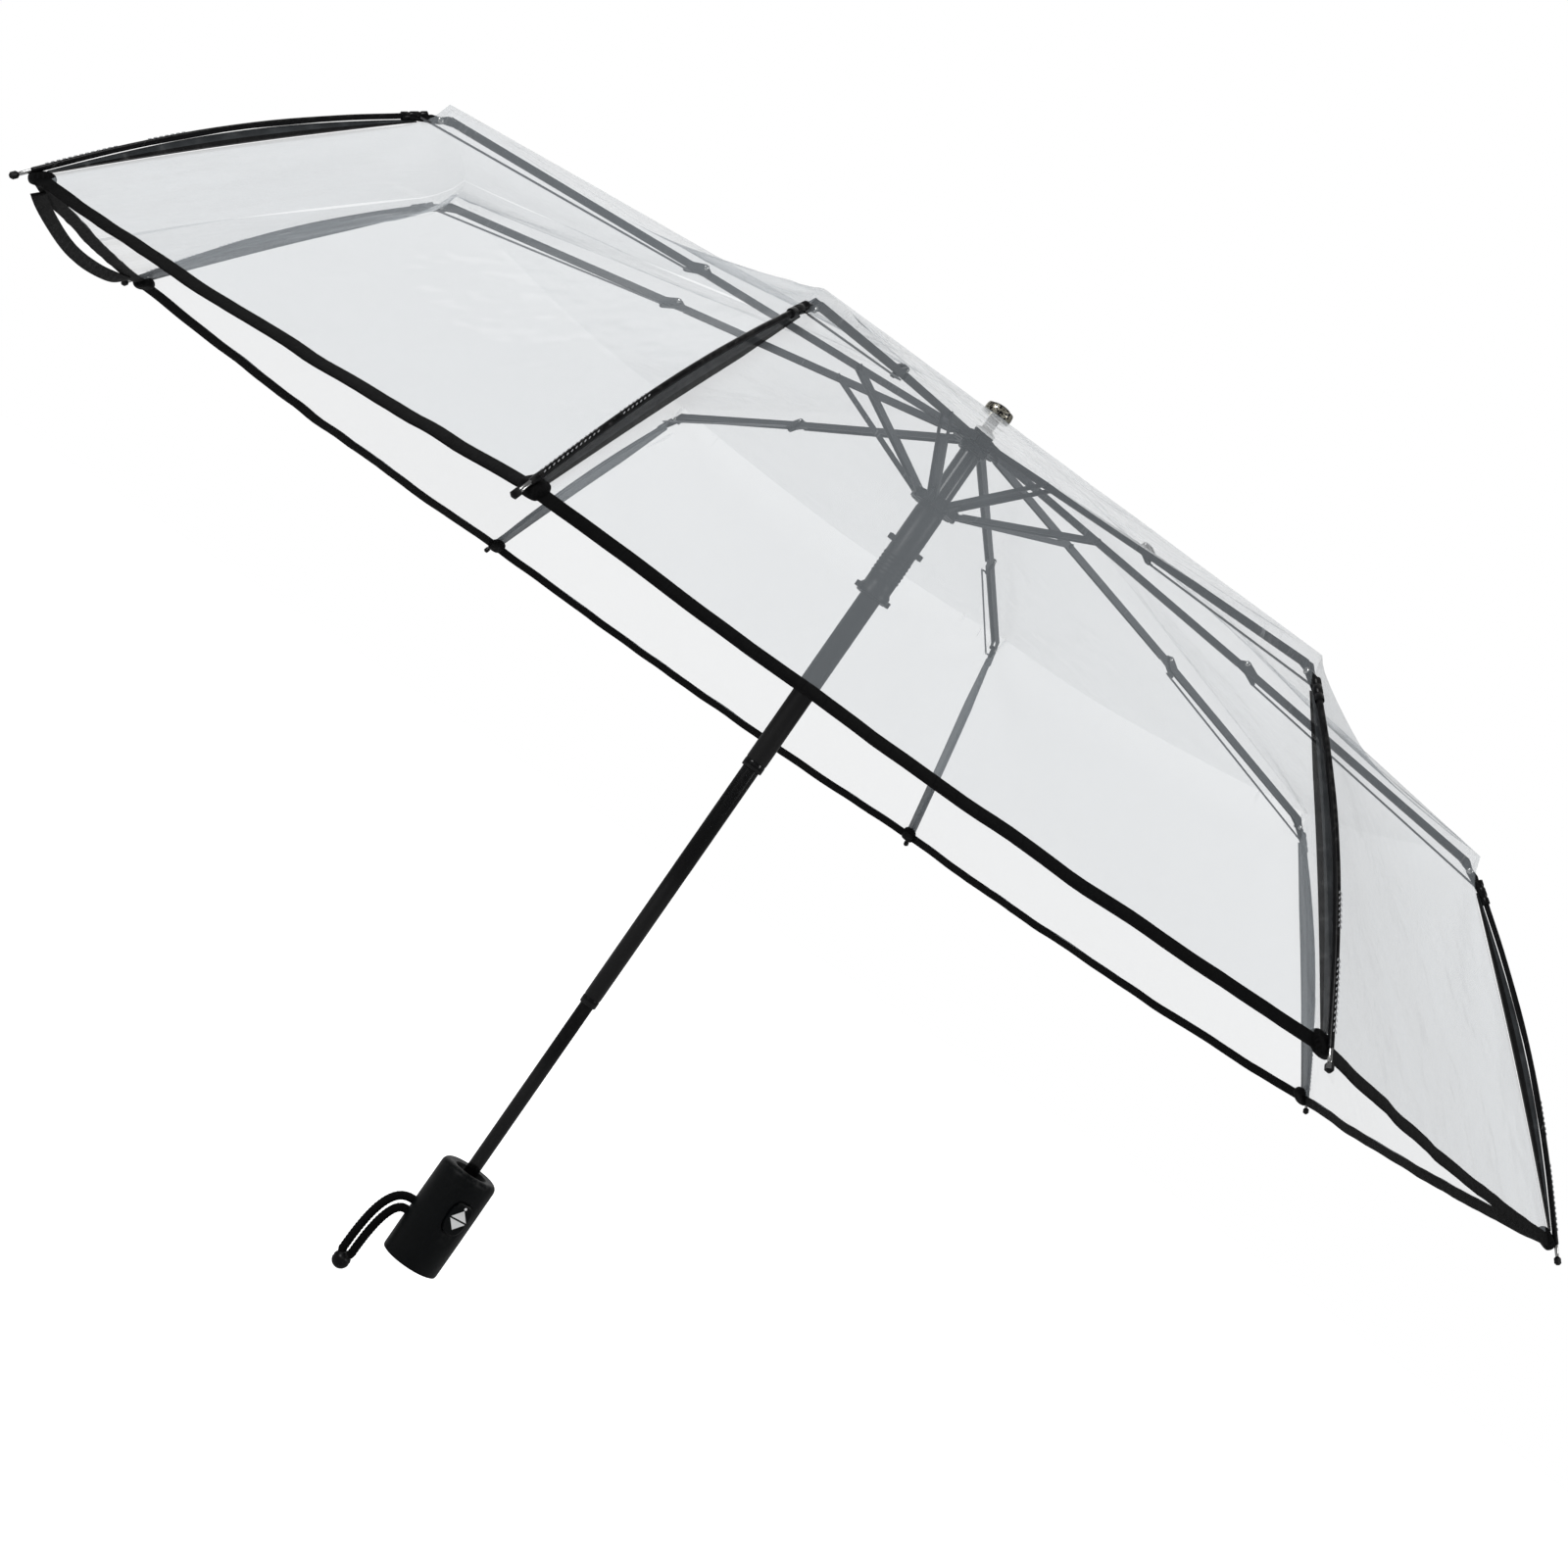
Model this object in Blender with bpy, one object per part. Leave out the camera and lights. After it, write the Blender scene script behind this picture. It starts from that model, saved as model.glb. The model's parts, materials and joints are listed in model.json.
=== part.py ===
"""Clear folding umbrella: a three-section shaft, a push-button handle and eight three-fold ribs.

Metres, +Z up the shaft, origin at the centre of the handle's flat bottom.  The umbrella is modelled open.
Each rib is made of five linked pieces.  In a rib piece's own frame +X runs outwards along the rib, +Z points
at the canopy and the origin is the pivot that the piece turns on.
"""

import math

import bmesh
import bpy
from mathutils import Matrix, Vector

# ---------------------------------------------------------------- driving dimensions
RIBS = 8
FIRST_RIB_DEG = 180.0
SECTOR_DEG = 360.0 / RIBS

HANDLE_R = 0.017
HANDLE_H = 0.060
HANDLE_WALL = 0.0030
BUTTON_Z = 0.0366
BUTTON_W, BUTTON_H = 0.0128, 0.0190

TUBE_WALL = 0.0007
LOWER_R, LOWER_Z = 0.0040, (0.0200, 0.1950)
MIDDLE_R, MIDDLE_Z = 0.0050, (0.1700, 0.3550)
UPPER_R, UPPER_Z = 0.00625, (0.3270, 0.5505)

CROWN_Z = 0.5450
RUNNER_Z = 0.5040
PIVOT_R = 0.0125
COLLAR_R = 0.0144
COLLAR_HALF_H = 0.00275
RUNNER_SLEEVE = 0.0620

TOP_LEN = 0.1800
TOP_OPEN_DEG, TOP_SHUT_DEG = -8.0, -88.0
STRUT_AT = 0.0750
MIDDLE_LEN = 0.1570
MIDDLE_OPEN_DEG, MIDDLE_SHUT_DEG = -8.5, 92.0
OUTER_SHUT_DEG = -88.0
CORNER_R, CORNER_Z = 0.4850, 0.3580
OUTER_BOW = 0.0070

RIB_HALF_W, RIB_HALF_H = 0.0022, 0.0018
SHEET_METAL = 0.0008
HINGE_OFFSET = 0.0026
EYE_R, HOLE_R, PIN_R = 0.0017, 0.00105, 0.0007
TONGUE_HALF_W = 0.0009
EAR_IN, EAR_OUT = 0.0012, 0.0021
CHANNEL_GAP = 0.0040
STRUT_IN, STRUT_OUT = 0.0025, 0.0031
STRUT_FORK = 0.0220
ROD_R = 0.00125
LINK_LANE = 0.0040
LINK_R = 0.0006
LINK_FOOT = (0.0090, -0.0060)

FILM_TOP_Z = 0.5625
FILM_T = 0.0003
FILM_HOLE_R = 0.0037
GORE_STEPS = 4
BINDING_W, BINDING_T = 0.0065, 0.0008
GORE_SAG, RIM_SAG = 0.016, 0.003
EDGE_DROOP = 0.004
STRAP_W, STRAP_T = 0.0070, 0.0011
GAP = 0.0003


# ---------------------------------------------------------------- working tools
def clear_scene():
    for old in list(bpy.data.objects):
        bpy.data.objects.remove(old, do_unlink=True)


def material(name, colour, roughness, metallic=0.0, alpha=1.0):
    made = bpy.data.materials.new(name)
    made.use_nodes = True
    shader = made.node_tree.nodes["Principled BSDF"]
    shader.inputs["Base Color"].default_value = (*colour, 1.0)
    shader.inputs["Roughness"].default_value = roughness
    shader.inputs["Metallic"].default_value = metallic
    shader.inputs["Alpha"].default_value = alpha
    return made


def place(name, mesh, finish, location=(0, 0, 0), rotation=(0, 0, 0)):
    """One named object with its finish; copies may share a mesh."""
    made = bpy.data.objects.new(name, mesh)
    bpy.context.scene.collection.objects.link(made)
    if not mesh.materials:
        mesh.materials.append(finish)
    made.location = location
    made.rotation_euler = rotation
    return made


def to_mesh(name, bm, smooth_deg=35):
    bmesh.ops.recalc_face_normals(bm, faces=bm.faces)
    mesh = bpy.data.meshes.new(name)
    bm.to_mesh(mesh)
    bm.free()
    mesh.shade_smooth()
    mesh.set_sharp_from_angle(angle=math.radians(smooth_deg))
    return mesh


def prism(outline, y_low, y_high):
    """A plate: an outline of (x, z) points extruded across the rib from y_low to y_high."""
    bm = bmesh.new()
    face = bm.faces.new([bm.verts.new((x, y_low, z)) for x, z in outline])
    grown = bmesh.ops.extrude_face_region(bm, geom=[face])["geom"]
    corners = [v for v in grown if isinstance(v, bmesh.types.BMVert)]
    bmesh.ops.translate(bm, verts=corners, vec=(0, y_high - y_low, 0))
    return to_mesh("plate", bm)


def box(x_range, y_range, z_range):
    (x0, x1), (z0, z1) = x_range, z_range
    return prism([(x0, z0), (x1, z0), (x1, z1), (x0, z1)], *y_range)


def turned(profile, steps=16):
    """A round piece: (radius, z) points spun about Z; a closed section unless it ends on the axis."""
    bm = bmesh.new()
    points = [bm.verts.new((r, 0, z)) for r, z in profile]
    solid = profile[0][0] == 0 and profile[-1][0] == 0
    edges = [bm.edges.new(pair) for pair in zip(points, points[1:])]
    if not solid:
        edges.append(bm.edges.new((points[-1], points[0])))
    bmesh.ops.spin(
        bm, geom=points + edges, cent=(0, 0, 0), axis=(0, 0, 1), angle=2 * math.pi, steps=steps,
        use_merge=True,
    )
    bmesh.ops.remove_doubles(bm, verts=bm.verts, dist=1e-6)
    return to_mesh("turned", bm)


def ring(r_in, r_out, z_low, z_high, steps=16):
    return turned([(r_in, z_low), (r_out, z_low), (r_out, z_high), (r_in, z_high)], steps)


def pin(x, z, y_low, y_high, radius, sides=6):
    """A round pin across the rib."""
    turn = 2 * math.pi / sides
    outline = [
        (x + radius * math.cos(turn * (i + 0.5)), z + radius * math.sin(turn * (i + 0.5)))
        for i in range(sides)
    ]
    return prism(outline, y_low, y_high)


def sweep(points, radii, sides=6):
    """A rod along points in the XZ plane, with a radius at each."""
    bm = bmesh.new()
    rings = []
    for i, (point, radius) in enumerate(zip(points, radii)):
        ahead, behind = points[min(i + 1, len(points) - 1)], points[max(i - 1, 0)]
        along = (ahead - behind).normalized()
        up = Vector((-along.z, 0, along.x))
        turns = [2 * math.pi * (k + 0.5) / sides for k in range(sides)]
        rings.append([
            bm.verts.new(point + radius * (math.cos(a) * up + math.sin(a) * Vector((0, 1, 0))))
            for a in turns
        ])
    for low, high in zip(rings, rings[1:]):
        for k in range(sides):
            bm.faces.new((low[k], low[(k + 1) % sides], high[(k + 1) % sides], high[k]))
    bm.faces.new(rings[0])
    bm.faces.new(rings[-1])
    return to_mesh("rod", bm)


def combine(base, *changes):
    """Booleans in order: each change is ("UNION" or "DIFFERENCE", mesh)."""
    scene = bpy.context.scene.collection
    body = bpy.data.objects.new("work", base)
    scene.objects.link(body)
    tools = []
    for operation, mesh in changes:
        tool = bpy.data.objects.new("tool", mesh)
        scene.objects.link(tool)
        tools.append(tool)
        step = body.modifiers.new(operation, "BOOLEAN")
        step.operation = operation
        step.object = tool
    bpy.context.view_layer.update()
    graph = bpy.context.evaluated_depsgraph_get()
    result = bpy.data.meshes.new_from_object(body.evaluated_get(graph))
    for extra in [body, *tools]:
        bpy.data.objects.remove(extra, do_unlink=True)
    result.shade_smooth()
    result.set_sharp_from_angle(angle=math.radians(35))
    return result


def add(*meshes):
    return [("UNION", mesh) for mesh in meshes]


def cut(*meshes):
    return [("DIFFERENCE", mesh) for mesh in meshes]


def moved(mesh, offset):
    mesh.transform(Matrix.Translation(offset))
    return mesh


def eye_arc(centre, radius, start_deg, end_deg, steps=3):
    """Points round a hinge eye, from one angle to the other."""
    turns = [math.radians(start_deg + (end_deg - start_deg) * i / steps) for i in range(steps + 1)]
    return [(centre[0] + radius * math.cos(a), centre[1] + radius * math.sin(a)) for a in turns]


# ---------------------------------------------------------------- rib geometry
def turn_2d(point, degrees):
    a = math.radians(degrees)
    x, z = point
    return Vector((x * math.cos(a) - z * math.sin(a), x * math.sin(a) + z * math.cos(a)))


def pose(top_deg, middle_deg, outer_deg, crown=Vector((PIVOT_R, CROWN_Z))):
    """The rib's pivots in its own (radius, z) plane for one set of angles."""
    elbow = crown + turn_2d((TOP_LEN, HINGE_OFFSET), top_deg)
    knee = elbow + turn_2d((MIDDLE_LEN, -2 * HINGE_OFFSET), middle_deg)
    foot = elbow + turn_2d(LINK_FOOT, top_deg)
    return {"crown": crown, "elbow": elbow, "knee": knee, "foot": foot, "outer_deg": outer_deg}


def outer_open_angle():
    """The outer rib's length and angle, from its knee to the corner of the canopy."""
    knee = pose(TOP_OPEN_DEG, MIDDLE_OPEN_DEG, 0)["knee"]
    reach = Vector((CORNER_R, CORNER_Z)) - knee
    length = math.sqrt(reach.length ** 2 - HINGE_OFFSET ** 2)
    angle = math.atan2(reach.y, reach.x) - math.atan2(HINGE_OFFSET, length)
    return length, math.degrees(angle)


OUTER_LEN, OUTER_OPEN_DEG = outer_open_angle()
OPEN = pose(TOP_OPEN_DEG, MIDDLE_OPEN_DEG, OUTER_OPEN_DEG)
SHUT = pose(TOP_SHUT_DEG, MIDDLE_SHUT_DEG, OUTER_SHUT_DEG)


def heel(state, along):
    """Where the link rod meets the outer rib."""
    return state["knee"] + turn_2d((along, HINGE_OFFSET), state["outer_deg"])


def link_heel():
    """The place on the outer rib that is as far from the link's foot when shut as when open."""
    low, high = 0.004, 0.016
    for _ in range(50):
        mid = (low + high) / 2
        longer = (heel(OPEN, mid) - OPEN["foot"]).length - (heel(SHUT, mid) - SHUT["foot"]).length
        if longer > 0:
            high = mid
        else:
            low = mid
    return (low + high) / 2


HEEL = link_heel()
LINK_OPEN = heel(OPEN, HEEL) - OPEN["foot"]
LINK_SHUT = heel(SHUT, HEEL) - SHUT["foot"]
LINK_OPEN_DEG = math.degrees(math.atan2(LINK_OPEN.y, LINK_OPEN.x))
LINK_SHUT_DEG = math.degrees(math.atan2(LINK_SHUT.y, LINK_SHUT.x)) % 360

STRUT_END = OPEN["crown"] + turn_2d((STRUT_AT, 0), TOP_OPEN_DEG)
STRUT = STRUT_END - Vector((PIVOT_R, RUNNER_Z))
STRUT_LEN = STRUT.length
STRUT_OPEN_DEG = math.degrees(math.atan2(STRUT.y, STRUT.x))
STRUT_END_SHUT = SHUT["crown"] + turn_2d((STRUT_AT, 0), TOP_SHUT_DEG)
SHUT_SPREAD = STRUT_END_SHUT.x - PIVOT_R
STRUT_SHUT_DEG = 90 - math.degrees(math.asin(SHUT_SPREAD / STRUT_LEN))
RUNNER_SHUT_Z = STRUT_END_SHUT.y - math.sqrt(STRUT_LEN ** 2 - SHUT_SPREAD ** 2)
RUNNER_TRAVEL = RUNNER_Z - RUNNER_SHUT_Z


# ---------------------------------------------------------------- rib pieces, each in its own frame
def channel(x_range, half_w, z_range, web_low, web_high, wall):
    """A U-section strip, with its web along one edge."""
    sides = [box(x_range, (-half_w, -half_w + wall), z_range), box(x_range, (half_w - wall, half_w), z_range)]
    web = box((x_range[0] + GAP, x_range[1] - GAP), (-half_w + wall / 2, half_w - wall / 2), (web_low, web_high))
    return web, sides


def top_rib_mesh():
    """Steel channel with a tongue in the crown, a tongue at the elbow and an arm that carries the link."""
    span = (CHANNEL_GAP, TOP_LEN - CHANNEL_GAP)
    web, sides = channel(span, RIB_HALF_W, (-RIB_HALF_H, RIB_HALF_H), 0.0009, 0.0016, SHEET_METAL)
    inner = prism(
        eye_arc((0, 0), EYE_R, 270, 90) + [(0.009, 0.0014), (0.009, -0.0012)],
        -TONGUE_HALF_W, TONGUE_HALF_W,
    )
    elbow = (TOP_LEN, HINGE_OFFSET)
    foot = (elbow[0] + LINK_FOOT[0], elbow[1] + LINK_FOOT[1])
    outer = prism(
        [(TOP_LEN - 0.010, -0.0014), (TOP_LEN + 0.002, -0.0022)]
        + eye_arc(foot, 0.0012, -120, 60)
        + eye_arc(elbow, EYE_R, -20, 140)
        + [(TOP_LEN - 0.0052, 0.0014), (TOP_LEN - 0.010, 0.0014)],
        -TONGUE_HALF_W, TONGUE_HALF_W,
    )
    pivot = pin(*elbow, -EAR_OUT, EAR_OUT, PIN_R)
    foot_pin = pin(*foot, 0, LINK_LANE - LINK_R - GAP, LINK_R)
    return combine(web, *add(*sides, inner, outer, pivot, foot_pin))


def middle_rib_mesh():
    """Steel channel hung below its elbow pivot, with a pair of ears at each end."""
    mid_z, far_z = -HINGE_OFFSET, -2 * HINGE_OFFSET
    span = (CHANNEL_GAP, MIDDLE_LEN - CHANNEL_GAP)
    web, sides = channel(
        span, RIB_HALF_W, (mid_z - RIB_HALF_H, mid_z + RIB_HALF_H), mid_z + 0.0009, mid_z + 0.0016, SHEET_METAL,
    )
    low, high = mid_z - 0.0016, mid_z + 0.0014
    near_ear = eye_arc((0, 0), EYE_R, 60, 240) + [(0.0046, low), (0.009, low), (0.009, high)]
    far_ear = (
        [(MIDDLE_LEN - 0.009, high), (MIDDLE_LEN - 0.009, low)]
        + eye_arc((MIDDLE_LEN, far_z), EYE_R, 200, 390)
        + [(MIDDLE_LEN - 0.0034, high)]
    )
    ears = [prism(ear, y, y + EAR_OUT - EAR_IN) for ear in (near_ear, far_ear) for y in (-EAR_OUT, EAR_IN)]
    holes = [
        pin(x, z, -0.003, 0.003, HOLE_R) for x, z in ((0, 0), (MIDDLE_LEN, far_z))
    ]
    return combine(web, *add(*sides, *ears), *cut(*holes))


def outer_path(t):
    """The outer rod's centre line: t is 0 at the knee and 1 at the canopy's corner."""
    return Vector((OUTER_LEN * t, 0, HINGE_OFFSET + OUTER_BOW * math.sin(math.pi * t)))


def outer_rib_mesh():
    """Bowed rod in a ferrule with a knee tongue, ending in a pin with a ball."""
    stations = [0.030, 0.092, 0.094, 0.25, 0.50, 0.75, 0.985, 0.990]
    radii = [0.0018, 0.0018] + [ROD_R] * 5 + [0.0008]
    points = [outer_path(t) for t in stations]
    end, along = points[-1], (points[-1] - points[-2]).normalized()
    for step, radius in ((0.0050, 0.0008), (0.0060, 0.0019), (0.0084, 0.0019), (0.0094, 0.0008)):
        points.append(end + along * step)
        radii.append(radius)
    rod = sweep(points, radii)
    tongue = prism(
        eye_arc((0, 0), EYE_R, 290, 110) + [(0.0034, 0.0034), (0.0120, 0.0040), (0.0120, 0.0016)],
        -TONGUE_HALF_W, TONGUE_HALF_W,
    )
    pivot = pin(0, 0, -EAR_OUT, EAR_OUT, PIN_R)
    heel_point = outer_path(HEEL / OUTER_LEN)
    heel_pin = pin(heel_point.x, HINGE_OFFSET + 0.0003, 0, LINK_LANE - LINK_R - GAP, LINK_R)
    return combine(rod, *add(tongue, pivot, heel_pin))


def stretcher_mesh():
    """Strut from the runner: a channel that ends in a fork, which straddles the top rib."""
    web = box((0.0052, STRUT_LEN - STRUT_FORK), (-0.0028, 0.0028), (0.0008, 0.0014))
    sides = [
        box((0.0050, STRUT_LEN + 0.0018), (y, y + STRUT_OUT - STRUT_IN), (-0.0013, 0.0016))
        for y in (-STRUT_OUT, STRUT_IN)
    ]
    tongue = prism(
        eye_arc((0, 0), EYE_R, 270, 90) + [(0.011, 0.0012), (0.011, -0.0010)],
        -TONGUE_HALF_W, TONGUE_HALF_W,
    )
    return combine(web, *add(*sides, tongue))


def link_rod_mesh():
    """Thin wire that turns the outer rib as the middle rib folds."""
    length = LINK_OPEN.length
    stations = [-0.0011, 0.0014, length - 0.0014, length + 0.0011]
    radii = [LINK_R * k for k in (0.8, 1, 1, 0.8)]
    return moved(sweep([Vector((x, 0, 0)) for x in stations], radii), (0, LINK_LANE, 0))


def add_ribs(steel, black):
    meshes = {
        "top_rib": top_rib_mesh(), "middle_rib": middle_rib_mesh(), "outer_rib": outer_rib_mesh(),
        "stretcher": stretcher_mesh(), "link_rod": link_rod_mesh(),
    }
    at = {
        "top_rib": (OPEN["crown"], TOP_OPEN_DEG), "middle_rib": (OPEN["elbow"], MIDDLE_OPEN_DEG),
        "outer_rib": (OPEN["knee"], OUTER_OPEN_DEG), "stretcher": (Vector((PIVOT_R, RUNNER_Z)), STRUT_OPEN_DEG),
        "link_rod": (OPEN["foot"], LINK_OPEN_DEG),
    }
    for k in range(RIBS):
        spoke = math.radians(FIRST_RIB_DEG + SECTOR_DEG * k)
        for kind, mesh in meshes.items():
            (radius, z), degrees = at[kind]
            where = (radius * math.cos(spoke), radius * math.sin(spoke), z)
            finish = black if kind == "outer_rib" else steel
            place(f"{kind}_{k + 1}", mesh, finish, where, (0, -math.radians(degrees), spoke))


# ---------------------------------------------------------------- crown, runner and shaft
def slotted_disc(r_in, r_out, z_low, z_high, slot_half_w=0.0012, slot_floor=0.0095):
    """A collar with one radial slot for each rib."""
    rim, bore = [], []
    half, floor_half = math.asin(slot_half_w / r_out), math.asin(slot_half_w / slot_floor)
    sector = math.radians(SECTOR_DEG)
    for k in range(RIBS):
        spoke = math.radians(FIRST_RIB_DEG) + sector * k
        rim += [(slot_floor, spoke - floor_half), (slot_floor, spoke + floor_half)]
        rim += [(r_out, spoke + half + (sector - 2 * half) * s) for s in (0, 1 / 3, 2 / 3, 1)]
        bore += [spoke - floor_half]
        bore += [spoke + floor_half + (sector - 2 * floor_half) * s for s in (0, 0.2, 0.4, 0.6, 0.8)]
    bm = bmesh.new()
    levels = []
    for z in (z_low, z_high):
        outside = [bm.verts.new((r * math.cos(a), r * math.sin(a), z)) for r, a in rim]
        inside = [bm.verts.new((r_in * math.cos(a), r_in * math.sin(a), z)) for a in bore]
        levels.append((outside, inside))
    (out_low, in_low), (out_high, in_high) = levels
    for i in range(len(rim)):
        j = (i + 1) % len(rim)
        bm.faces.new((out_low[i], out_low[j], out_high[j], out_high[i]))
        bm.faces.new((in_low[j], in_low[i], in_high[i], in_high[j]))
        bm.faces.new((out_high[i], out_high[j], in_high[j], in_high[i]))
        bm.faces.new((out_low[j], out_low[i], in_low[i], in_low[j]))
    return to_mesh("collar", bm)


def add_crown(black):
    bore = UPPER_R + 0.00035
    hub = ring(bore, 0.0084, -0.0065, 0.0045)
    disc = slotted_disc(0.0074, COLLAR_R, -COLLAR_HALF_H, COLLAR_HALF_H)
    place("crown", combine(hub, *add(disc)), black, (0, 0, CROWN_Z))


def add_runner(black):
    bore = UPPER_R + 0.00035
    sleeve = turned([
        (bore, -RUNNER_SLEEVE), (0.0094, -RUNNER_SLEEVE), (0.0094, -RUNNER_SLEEVE + 0.004),
        (0.0082, -RUNNER_SLEEVE + 0.006), (0.0082, 0.0045), (bore, 0.0045),
    ])
    disc = slotted_disc(0.0074, COLLAR_R, -COLLAR_HALF_H, COLLAR_HALF_H)
    hooks = []
    for z in (-0.0300, -RUNNER_SLEEVE + 0.0005):
        for side in (-1, 1):
            reach = sorted((side * 0.0076, side * 0.0124))
            hooks.append(box(reach, (-0.0015, 0.0015), (z, z + 0.0032)))
    place("runner", combine(sleeve, *add(disc, *hooks)), black, (0, 0, RUNNER_Z))


def add_shaft(metal, spring_metal):
    tubes = (("lower_tube", LOWER_R, LOWER_Z), ("middle_tube", MIDDLE_R, MIDDLE_Z), ("upper_tube", UPPER_R, UPPER_Z))
    for name, radius, (low, high) in tubes:
        section = [
            (radius - TUBE_WALL, low), (radius - 0.0003, low), (radius, low + 0.0006),
            (radius, high - 0.0006), (radius - 0.0003, high), (radius - TUBE_WALL, high),
        ]
        place(name, turned(section), metal)
    add_coil("opening_spring", spring_metal, 0.0022, 0.0005, (0.0225, 0.5300), 14)


def add_coil(name, finish, radius, wire, z_range, turns, axis_turn=(0, 0, 0), at=(0, 0, 0)):
    """An open coil of round wire."""
    steps = turns * 6
    low, high = z_range
    curve = bpy.data.curves.new(name, "CURVE")
    curve.dimensions = "3D"
    curve.bevel_depth = wire
    curve.bevel_resolution = 0
    curve.use_fill_caps = True
    line = curve.splines.new("POLY")
    line.points.add(steps)
    for i, point in enumerate(line.points):
        a = 2 * math.pi * turns * i / steps
        point.co = (radius * math.cos(a), radius * math.sin(a), low + (high - low) * i / steps, 1)
    curve.materials.append(finish)
    made = bpy.data.objects.new(name, curve)
    bpy.context.scene.collection.objects.link(made)
    made.location = at
    made.rotation_euler = axis_turn


def add_ferrule(black, speckled):
    """Post in the top of the shaft, a bright ring and a dark domed cap above the film."""
    post = [(0, 0.5360), (0.0049, 0.5360), (0.0049, 0.5508), (0.0062, 0.5510), (0.0062, 0.5530),
            (0.0034, 0.5545), (0.0034, 0.5635), (0, 0.5635)]
    place("ferrule_post", turned(post), black)
    rim = [(0.0067, 0.5630), (0.0078, 0.5630), (0.0082, 0.5640), (0.0080, 0.5676), (0.0074, 0.5682), (0.0067, 0.5678)]
    place("ferrule_rim", turned(rim), speckled)
    cap = [(0, 0.5638), (0.0064, 0.5638), (0.0064, 0.5680), (0.0058, 0.5690), (0.0040, 0.5697), (0, 0.5700)]
    place("ferrule_cap", turned(cap), black)


# ---------------------------------------------------------------- handle
def oval(width, height, steps=16):
    """A rounded button outline of (x, z) points."""
    points = []
    for i in range(steps):
        a = 2 * math.pi * (i + 0.5) / steps
        c, s = math.cos(a), math.sin(a)
        points.append((width / 2 * math.copysign(abs(c) ** 0.7, c), height / 2 * math.copysign(abs(s) ** 0.7, s)))
    return points


def add_handle(rubber, plastic, spring_metal):
    inner = HANDLE_R - HANDLE_WALL
    shell = turned([
        (inner + 0.0008, 0), (HANDLE_R - 0.0008, 0), (HANDLE_R, 0.0010), (HANDLE_R, HANDLE_H - 0.0045),
        (HANDLE_R - 0.0010, HANDLE_H - 0.0018), (HANDLE_R - 0.0038, HANDLE_H), (0.0098, HANDLE_H - 0.0006),
        (0.0080, HANDLE_H - 0.0030), (0.0072, HANDLE_H - 0.0070), (LOWER_R + 0.0004, HANDLE_H - 0.0074),
        (LOWER_R + 0.0004, HANDLE_H - 0.0100), (inner, HANDLE_H - 0.0100), (inner, 0.0032), (inner + 0.0008, 0.0030),
    ], 24)
    window = moved(prism(oval(BUTTON_W + 0.0007, BUTTON_H + 0.0007), -0.0190, -0.0100), (0, 0, BUTTON_Z))
    place("handle_shell", combine(shell, *cut(window)), rubber)
    cap_r = inner + 0.0005
    place("handle_end_cap", turned([(0, 0), (cap_r, 0), (cap_r, 0.0026), (0, 0.0026)], 24), plastic)
    socket = turned([
        (0, 0.0031), (0.0132, 0.0031), (0.0132, 0.0060), (0.0088, 0.0075), (0.0088, 0.0490),
        (LOWER_R + GAP, 0.0490), (LOWER_R + GAP, 0.0196), (0, 0.0196),
    ])
    place("tube_socket", socket, plastic)
    face_y, back_y = -0.0178, -0.0138
    button = prism(oval(BUTTON_W, BUTTON_H), 0, back_y - face_y)
    place("push_button", button, plastic, (0, face_y, BUTTON_Z))
    add_coil(
        "button_spring", spring_metal, 0.0026, 0.00035, (0, 0.0039), 4, (math.pi / 2, 0, 0),
        (0, -0.0093, BUTTON_Z),
    )


def add_wrist_strap(cord, plastic):
    """Two strands that leave the handle on one side and hang to a bead."""
    side = math.radians(150)
    out = Vector((math.cos(side), math.sin(side), 0))
    bead = 0.0310 * out + Vector((0, 0, -0.0200))
    bead_r = 0.0052
    place("strap_bead", turned([(0, -bead_r)] + [
        (bead_r * math.sin(math.pi * i / 6), -bead_r * math.cos(math.pi * i / 6)) for i in range(1, 6)
    ] + [(0, bead_r)]), plastic, bead)
    hang = 0.0028
    for name, exit_z, bulge, side_step in (
        ("strap_strand_upper", 0.0290, 0.0135, hang), ("strap_strand_lower", 0.0225, 0.0080, -hang),
    ):
        start = (HANDLE_R + 2 * GAP) * out + Vector((0, 0, exit_z))
        stop = bead + side_step * out
        stop.z += math.sqrt((bead_r + 3 * GAP) ** 2 - hang ** 2)
        bend_a = start + bulge * out
        bend_b = Vector((stop.x, stop.y, stop.z + (exit_z - stop.z) * 0.55))
        add_cord(name, cord, bezier(start, bend_a, bend_b, stop, 10), 0.0025)


def bezier(a, b, c, d, steps):
    line = []
    for i in range(steps + 1):
        t = i / steps
        s = 1 - t
        line.append(s ** 3 * a + 3 * s * s * t * b + 3 * s * t * t * c + t ** 3 * d)
    return line


def add_cord(name, finish, route, radius):
    curve = bpy.data.curves.new(name, "CURVE")
    curve.dimensions = "3D"
    curve.bevel_depth = radius
    curve.bevel_resolution = 2
    curve.use_fill_caps = True
    line = curve.splines.new("POLY")
    line.points.add(len(route) - 1)
    for point, at in zip(line.points, route):
        point.co = (*at, 1)
    curve.materials.append(finish)
    bpy.context.scene.collection.objects.link(bpy.data.objects.new(name, curve))


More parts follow.
